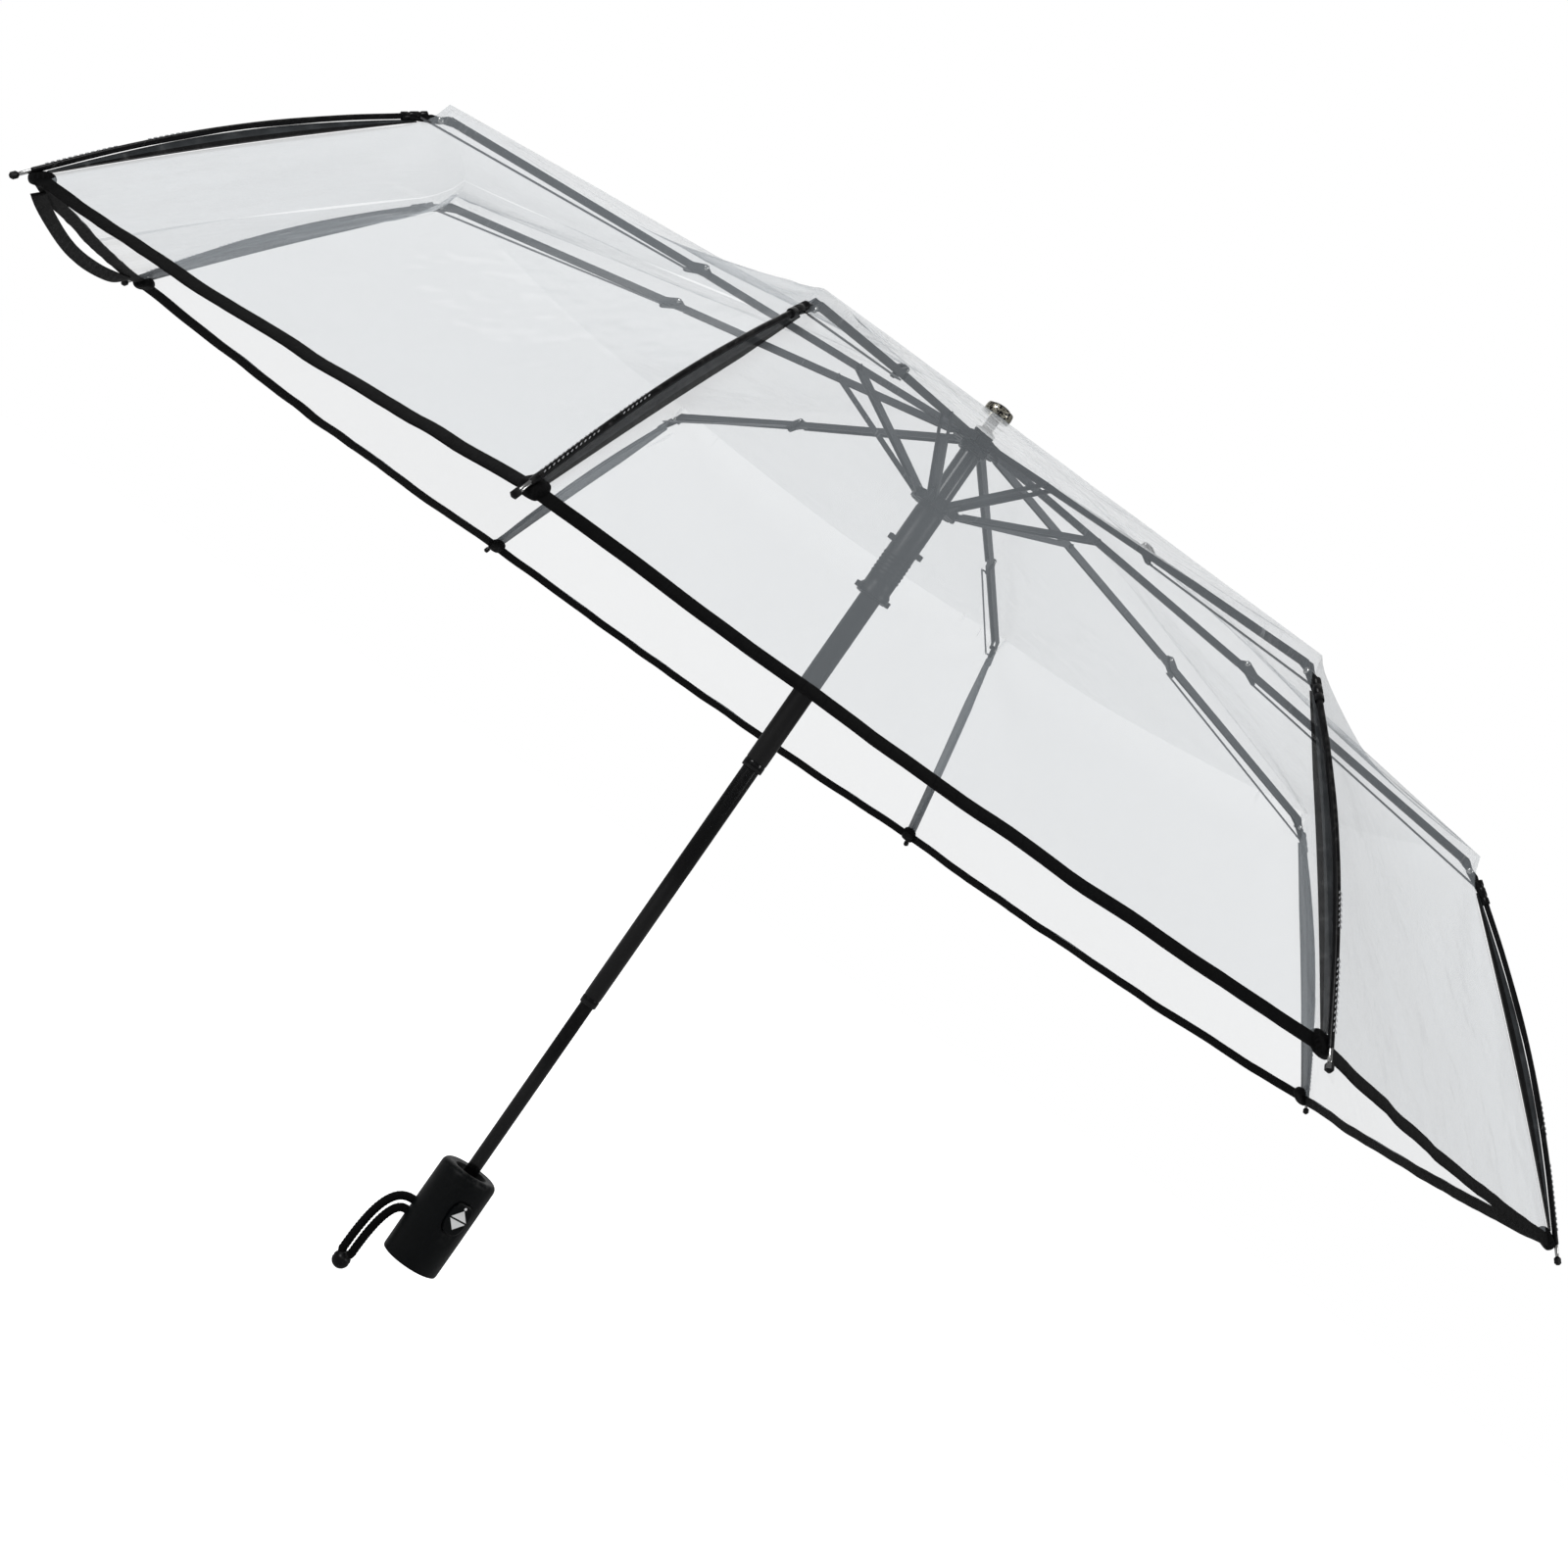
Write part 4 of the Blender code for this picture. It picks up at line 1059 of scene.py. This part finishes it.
# %% Tubes
TUBES = (
    ("lower_tube", "handle", 0.0040), ("middle_tube", "middle_shaft", 0.0050),
    ("upper_tube", "upper_shaft", 0.00625),
)
TUBE_WALL = 0.0007
for name, body, radius in TUBES:
    low, high = (corner.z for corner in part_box(name))
    inner = radius - TUBE_WALL
    tube = turned([
        (inner, low), (radius - 0.0003, low), (radius, low + 0.0005), (radius, low + 0.0040),
        (radius - 0.00018, low + 0.0044), (radius - 0.00018, low + 0.0052), (radius, low + 0.0056),
        (radius, high - 0.0008), (radius - 0.0003, high), (inner, high), (inner, low),
    ], 64)
    finished(tube, f"{name}_skin", body, TUBE)
    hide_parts(name)
print("tubes", [tube[0] for tube in TUBES])

# %% Runner sleeve, with ribs for the fingers
low, high = (corner.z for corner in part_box("runner"))
SLEEVE_R, SLEEVE_BORE = 0.0084, 0.0070
GRIP_PITCH = 0.0024
sleeve_profile = [
    (0.0086, low + 0.0002), (0.0096, low + 0.0006), (0.0096, low + 0.0044), (SLEEVE_R, low + 0.0062),
]
for i in range(6):
    base = low + 0.0130 + GRIP_PITCH * i
    sleeve_profile += [
        (SLEEVE_R, base), (0.0087, base + 0.0004), (0.0087, base + 0.0012), (SLEEVE_R, base + 0.0016),
    ]
sleeve_profile += [
    (SLEEVE_R, high - 0.0104), (0.0080, high - 0.0100),
    (SLEEVE_BORE, high - 0.0102), (SLEEVE_BORE, low + 0.0010),
]
sleeve = turned(sleeve_profile + [sleeve_profile[0]], 64)
finished(sleeve, "runner_sleeve", "runner", PLASTIC)
print("runner sleeve", round(high - low, 4), "m tall,", len(sleeve.data.polygons), "faces")

# %% Cap and ring
low, high = (corner.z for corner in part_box("ferrule_cap"))
cap = turned([
    (AXIS, low), (0.0064, low), (0.0066, low + 0.0006), (0.0066, low + 0.0040), (0.0062, low + 0.0048),
    (0.0050, low + 0.0056), (0.0030, low + 0.0061), (AXIS, high),
], 64, 60)
finished(cap, "cap_button", "upper_shaft", GLOSS)
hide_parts("ferrule_cap")
low, high = (corner.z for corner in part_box("ferrule_rim"))
collar = turned([
    (0.00675, low), (0.0078, low), (0.0083, low + 0.0008), (0.0084, low + 0.0024), (0.0082, low + 0.0042),
    (0.0078, high), (0.0072, high + 0.0001), (0.00675, high - 0.0004), (0.00675, low),
], 64)
finished(collar, "cap_ring", "upper_shaft", SPECKLED)
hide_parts("ferrule_rim")
print("cap and ring", len(cap.data.polygons), "and", len(collar.data.polygons), "faces")

# %% [markdown]
# ## Springs
# The long opening spring lies inside the tubes, and the real one shortens as they slide.  One coil can
# only follow one joint, so it is made in two lengths, one for each sliding joint; each is an even coil
# that keeps its length.

# %% Coils
def coil(radius, wire, low, high, turns):
    steps = turns * 10
    rings = []
    for i in range(steps + 1):
        a = 2 * math.pi * turns * i / steps
        centre = Vector((radius * math.cos(a), radius * math.sin(a), low + (high - low) * i / steps))
        out = Vector((math.cos(a), math.sin(a), 0))
        rings.append([
            centre + wire * (math.cos(b) * out + math.sin(b) * Vector((0, 0, 1)))
            for b in (2 * math.pi * j / 8 for j in range(8))
        ])
    return swept_strip(rings)


SPRING_R, SPRING_WIRE = 0.0022, 0.0005
SPRING_LOW, SPRING_SPLIT, SPRING_HIGH = 0.0225, 0.2500, 0.5300
MIDDLE_DROP = JOINTS["middle_slide"]["range_m"][1]
UPPER_DROP = JOINTS["upper_slide"]["range_m"][1]
for name, body, joint, low, high, drop, turns in (
    ("spring_lower", "handle", "middle_slide", SPRING_LOW, SPRING_SPLIT, MIDDLE_DROP, 22),
    ("spring_upper", "middle_shaft", "upper_slide", SPRING_SPLIT, SPRING_HIGH, UPPER_DROP, 27),
):
    made = coil(SPRING_R, SPRING_WIRE, low, high, turns)
    finished(made, name, body, BRIGHT)
    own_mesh(made)
    print(name, round(high - low, 4), "m long, shortens by", round(drop, 4))
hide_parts("opening_spring")

# %% Button spring: a short coil laid along Y
BUTTON_SPRING_R, BUTTON_WIRE = 0.0026, 0.00035
END_GAP = 0.0004
low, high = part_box("button_spring")
middle = (low + high) / 2
made = coil(BUTTON_SPRING_R, BUTTON_WIRE, 0, high.y - low.y - 2 * END_GAP, 4)
lie_back = Matrix.Rotation(math.pi / 2, 4, "X")
made.data.transform(Matrix.Translation((middle.x, high.y - END_GAP, middle.z)) @ lie_back)
finished(made, "button_coil", "handle", BRIGHT)
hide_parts("button_spring")
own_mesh(made)

# %% [markdown]
# ## Handle
# A short rubber-coated barrel: a small round at the bottom, a soft shoulder at the top and a cup round
# the shaft.  It could be built from a cylinder and loops, but a round thing is quickest turned from its
# profile.  The button's window is then cut through it with a Boolean, and its sharp edge is broken with a
# bevel.

# %% Barrel
HANDLE_R, HANDLE_H = 0.0170, 0.0600
INNER_R, SOCKET_R = 0.0140, 0.0045
shoulder = [
    (HANDLE_R - 0.0038 * (1 - math.cos(a)), HANDLE_H - 0.0040 * (1 - math.sin(a)))
    for a in (math.radians(angle) for angle in range(0, 91, 15))
]
CUP = ((0.0098, 0.0008), (0.0086, 0.0024), (0.0078, 0.0050), (0.0072, 0.0070))
cup = [(radius, HANDLE_H - depth) for radius, depth in CUP]
barrel = turned([
    (INNER_R + 0.0006, 0.0002), (HANDLE_R - 0.0012, 0.0), (HANDLE_R - 0.0003, 0.0004), (HANDLE_R, 0.0014),
    (HANDLE_R + 0.0001, 0.0180), (HANDLE_R + 0.0001, 0.0400), *shoulder, *cup,
    (SOCKET_R, HANDLE_H - 0.0073), (SOCKET_R, HANDLE_H - 0.0098),
    (INNER_R, HANDLE_H - 0.0098), (INNER_R, 0.0030), (INNER_R + 0.0006, 0.0002),
], 96)
finished(barrel, "handle_barrel", "handle", RUBBER)
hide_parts("handle_shell")
print("barrel", 2 * HANDLE_R, "m across and", HANDLE_H, "m tall")

# %% Button outline, window and face
BUTTON_Z = 0.0366
BUTTON_W, BUTTON_H = 0.0128, 0.0190
WINDOW_GAP = 0.0007
SQUARENESS = 0.7


def oval_plate(width, height, front, back, sides=64):
    """A rounded plate standing in the XZ plane, from y = front to y = back; its outline is a full oval."""
    deselect()
    bpy.ops.mesh.primitive_circle_add(vertices=sides, radius=1, fill_type="NGON")
    plate = bpy.context.object
    for vertex in plate.data.vertices:
        x, z = (math.copysign(abs(value) ** SQUARENESS, value) for value in vertex.co[:2])
        vertex.co = Vector((width / 2 * x, front, BUTTON_Z + height / 2 * z))
    bpy.ops.object.mode_set(mode="EDIT")
    bpy.ops.mesh.select_all(action="SELECT")
    bpy.ops.mesh.extrude_region_move(TRANSFORM_OT_translate={"value": (0, back - front, 0)})
    bpy.ops.mesh.select_all(action="SELECT")
    bpy.ops.mesh.normals_make_consistent(inside=False)
    bpy.ops.object.mode_set(mode="OBJECT")
    return plate


window = oval_plate(BUTTON_W + WINDOW_GAP, BUTTON_H + WINDOW_GAP, -0.0200, -0.0100)
cut = barrel.modifiers.new("Window", "BOOLEAN")
cut.operation = "DIFFERENCE"
cut.object = window
only(barrel)
bpy.ops.object.modifier_apply(modifier=cut.name)
bpy.data.objects.remove(window, do_unlink=True)
soft_edge = barrel.modifiers.new("Broken edge", "BEVEL")
soft_edge.width = 0.0003
soft_edge.segments = 2
soft_edge.limit_method = "ANGLE"
soft_edge.angle_limit = math.radians(50)
soft_edge.use_clamp_overlap = True
only(barrel)
bpy.ops.object.modifier_apply(modifier=soft_edge.name)
bpy.ops.object.shade_smooth_by_angle(angle=math.radians(38))
print("barrel faces", len(barrel.data.polygons))

# %% Button with a crowned face
FACE_Y = -0.0178
face = oval_plate(BUTTON_W, BUTTON_H, FACE_Y, -0.0138)
only(face)
bpy.ops.object.mode_set(mode="EDIT")
bpy.ops.mesh.select_all(action="DESELECT")
bpy.ops.object.mode_set(mode="OBJECT")
for polygon in face.data.polygons:
    polygon.select = len(polygon.vertices) > 4 and polygon.normal.y < -0.9
bpy.ops.object.mode_set(mode="EDIT")
for depth in (0.00035, 0.00020, 0.00008):
    bpy.ops.mesh.inset(thickness=0.00045, depth=depth)
bpy.ops.object.mode_set(mode="OBJECT")
settle(face, 50)
finished(face, "button_cap", "button", BUTTON)
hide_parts("push_button")
face_front = min(vertex.co.y for vertex in face.data.vertices)
print("button front at y", round(face_front, 5))

# %% Plain open and close arrows and a dot, printed on the button
def marking(name, vertices, radius, centre_z, turn_deg, squeeze=(1, 1, 1)):
    deselect()
    bpy.ops.mesh.primitive_cylinder_add(vertices=vertices, radius=radius, depth=0.0002)
    mark = bpy.context.object
    bpy.ops.object.mode_set(mode="EDIT")
    bpy.ops.mesh.bevel(offset=0.00004, segments=1)
    bpy.ops.object.mode_set(mode="OBJECT")
    place = Matrix.Translation((0, face_front - 0.00006, centre_z))
    stand = Matrix.Rotation(math.pi / 2, 4, "X") @ Matrix.Rotation(math.radians(turn_deg), 4, "Z")
    mark.data.transform(place @ Matrix.Diagonal((*squeeze, 1)) @ stand)
    settle(mark)
    return finished(mark, name, "button", MARKING)


ARROW_R, ARROW_SQUEEZE = 0.0059, (1, 1, 0.62)
HALF_GAP = 0.0005
ARROW_RISE = HALF_GAP + ARROW_R * ARROW_SQUEEZE[2] / 2
marking("arrow_up", 3, ARROW_R, BUTTON_Z + ARROW_RISE, 0, ARROW_SQUEEZE)
marking("arrow_down", 3, ARROW_R, BUTTON_Z - ARROW_RISE, 180, ARROW_SQUEEZE)
marking("dot", 20, 0.0008, BUTTON_Z + 0.0072, 0)
print("arrows centred", round(ARROW_RISE, 5), "m above and below the button's middle")

# %% End cap
end_cap = turned([
    (AXIS, 0.0004), (0.0040, 0.0004), (0.0044, 0.0001), (0.0050, 0.0001), (0.0054, 0.0006),
    (0.0120, 0.0006), (0.0126, 0.0), (0.0142, 0.0), (0.0144, 0.0004), (0.0144, 0.0026), (AXIS, 0.0026),
], 64)
finished(end_cap, "end_cap", "handle", PLASTIC)
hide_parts("handle_end_cap")
print("end cap", len(end_cap.data.polygons), "faces")

# %% [markdown]
# ## Wrist strap
# Two strands of a round braided cord leave the handle and hang to a bead.  A bump map would keep a smooth
# outline close up, so the braid is real relief: the tube's surface is raised where the crossing strands
# run.

# %% Strand routes, as in the frame: height at the handle, bulge, side of the bead
STRANDS = (("upper", 0.0290, 0.0135, 0.0028), ("lower", 0.0225, 0.0080, -0.0028))
STRAP_OUT = Vector((math.cos(math.radians(150)), math.sin(math.radians(150)), 0))
BEAD = 0.0310 * STRAP_OUT + Vector((0, 0, -0.0200))
BEAD_R = 0.0052
CORD_R = 0.0025
CORD_GAP = 0.0006
ROOT = 0.0020


def bezier(a, b, c, d, steps):
    line = []
    for i in range(steps + 1):
        t = i / steps
        s = 1 - t
        line.append(s ** 3 * a + 3 * s * s * t * b + 3 * s * t * t * c + t ** 3 * d)
    return line


def strand_route(exit_z, bulge, aside, steps=30):
    start = (HANDLE_R + CORD_GAP) * STRAP_OUT + Vector((0, 0, exit_z))
    stop = BEAD + aside * STRAP_OUT
    stop.z += math.sqrt((BEAD_R + 1.5 * CORD_GAP) ** 2 - aside ** 2)
    bend_a = start + bulge * STRAP_OUT
    bend_b = Vector((stop.x, stop.y, stop.z + (exit_z - stop.z) * 0.55))
    return bezier(start, bend_a, bend_b, stop, steps)


def length_of(route):
    return sum((b - a).length for a, b in zip(route, route[1:]))


for label, *bends in STRANDS:
    print("strand", label, round(length_of(strand_route(*bends)), 4), "m long")

# %% A braided tube: RING_STEP apart along the route, PITCH for one turn of a spiral
RING_STEP = 0.00030
PITCH = 0.0042


def evenly_spaced(route, steps):
    """The route again, as steps equal spans."""
    total, spans = length_of(route), list(zip(route, route[1:]))
    points, walked, span = [], 0.0, 0
    for i in range(steps + 1):
        target = total * i / steps
        while span < len(spans) - 1 and walked + (spans[span][1] - spans[span][0]).length < target:
            walked += (spans[span][1] - spans[span][0]).length
            span += 1
        a, b = spans[span]
        points.append(a.lerp(b, min(1.0, (target - walked) / (b - a).length)))
    return points


def braided_tube(route, radius, around=20):
    """A tube along the route, raised in two crossing spirals."""
    total = length_of(route)
    steps = int(total / RING_STEP)
    points = evenly_spaced(route, steps)
    side = Vector((0, 0, 1)).cross(STRAP_OUT).normalized()
    rings = []
    for i, point in enumerate(points):
        along = (points[min(i + 1, steps)] - points[max(i - 1, 0)]).normalized()
        up = along.cross(side).normalized()
        s = total * i / steps
        ring = []
        for j in range(around):
            a = 2 * math.pi * j / around
            twist = math.pi * s / PITCH * 2
            over = abs(math.sin(3 * a + twist) * math.sin(3 * a - twist))
            r = radius * (0.93 + 0.08 * over)
            ring.append(point + r * (math.cos(a) * side + math.sin(a) * up))
        rings.append(ring)
    return swept_strip(rings)


print("rings on the upper strand", int(length_of(strand_route(*STRANDS[0][1:])) / RING_STEP))

# %% Bead, with a fine groove round its middle, and the two strands
GROOVE, GROOVE_HALF_W = 0.05, 0.0006
bead = turned([
    (r * (1.0 - GROOVE * (abs(z) < GROOVE_HALF_W)), z) for r, z in ball_profile(BEAD_R, 18)
], 48, 60)
bead.data.transform(Matrix.Translation(BEAD))
finished(bead, "strap_stopper", "handle", PLASTIC)
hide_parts("strap_bead")
for label, *bends in STRANDS:
    route = strand_route(*bends)
    rooted = [route[0] - ROOT * STRAP_OUT, *route, route[-1].lerp(BEAD, 0.5)]
    tube = braided_tube(rooted, CORD_R)
    finished(tube, f"braid_{label}", "handle", BRAID)
    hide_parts(f"strap_strand_{label}")
    print(tube.name, len(tube.data.polygons), "faces")

# %% [markdown]
# ## Closure strap
# A band of the same tape runs under one gore, its ends laid on the rim's tape and its middle bowing a
# little below it.  The real one is wound round the closed umbrella.  Here it only rides on one rib,
# because a wound copy would be a second shape that belongs to one pose alone.

# %% Band
STRAP_W, STRAP_T = 0.0070, 0.0011
STRAP_GORE = RIBS - 1
ENDS_OVERLAP, ENDS_LIFT, MIDDLE_BOW, STRAP_LEAN = 0.0032, 0.0018, 0.0034, 0.0012


def strap_rings(steps=40):
    """Three points across the band at each step; sewn is 1 at its ends and 0 in the middle."""
    rings = []
    for i in range(steps + 1):
        t = i / steps
        point, down, out = rim_frame(STRAP_GORE, (1.85 - 1.65 * t) / 2)
        sewn = (2 * t - 1) ** 4
        bow = math.sin(math.pi * t) ** 2
        sunk = Vector((0, 0, -MIDDLE_BOW * bow))
        top = point + down * (TAPE_W - ENDS_OVERLAP * sewn) + out * ENDS_LIFT + sunk
        hang = (down * sewn + Vector((0, 0, -1)) * (1 - sewn)).normalized()
        lean = Vector((top.x, top.y, 0)).normalized() * STRAP_LEAN * math.sin(7 * t) * bow
        rings.append([top, top + hang * STRAP_W / 2 + lean, top + hang * STRAP_W])
    return rings


rings = strap_rings()
strap = swept_strip(rings, closed_section=False)
thick = strap.modifiers.new("Thickness", "SOLIDIFY")
thick.thickness = STRAP_T
thick.offset = 0
only(strap)
bpy.ops.object.modifier_apply(modifier=thick.name)
finished(strap, "closing_band", "outer_rib_1", TAPE)
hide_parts("closure_strap")
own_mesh(strap)
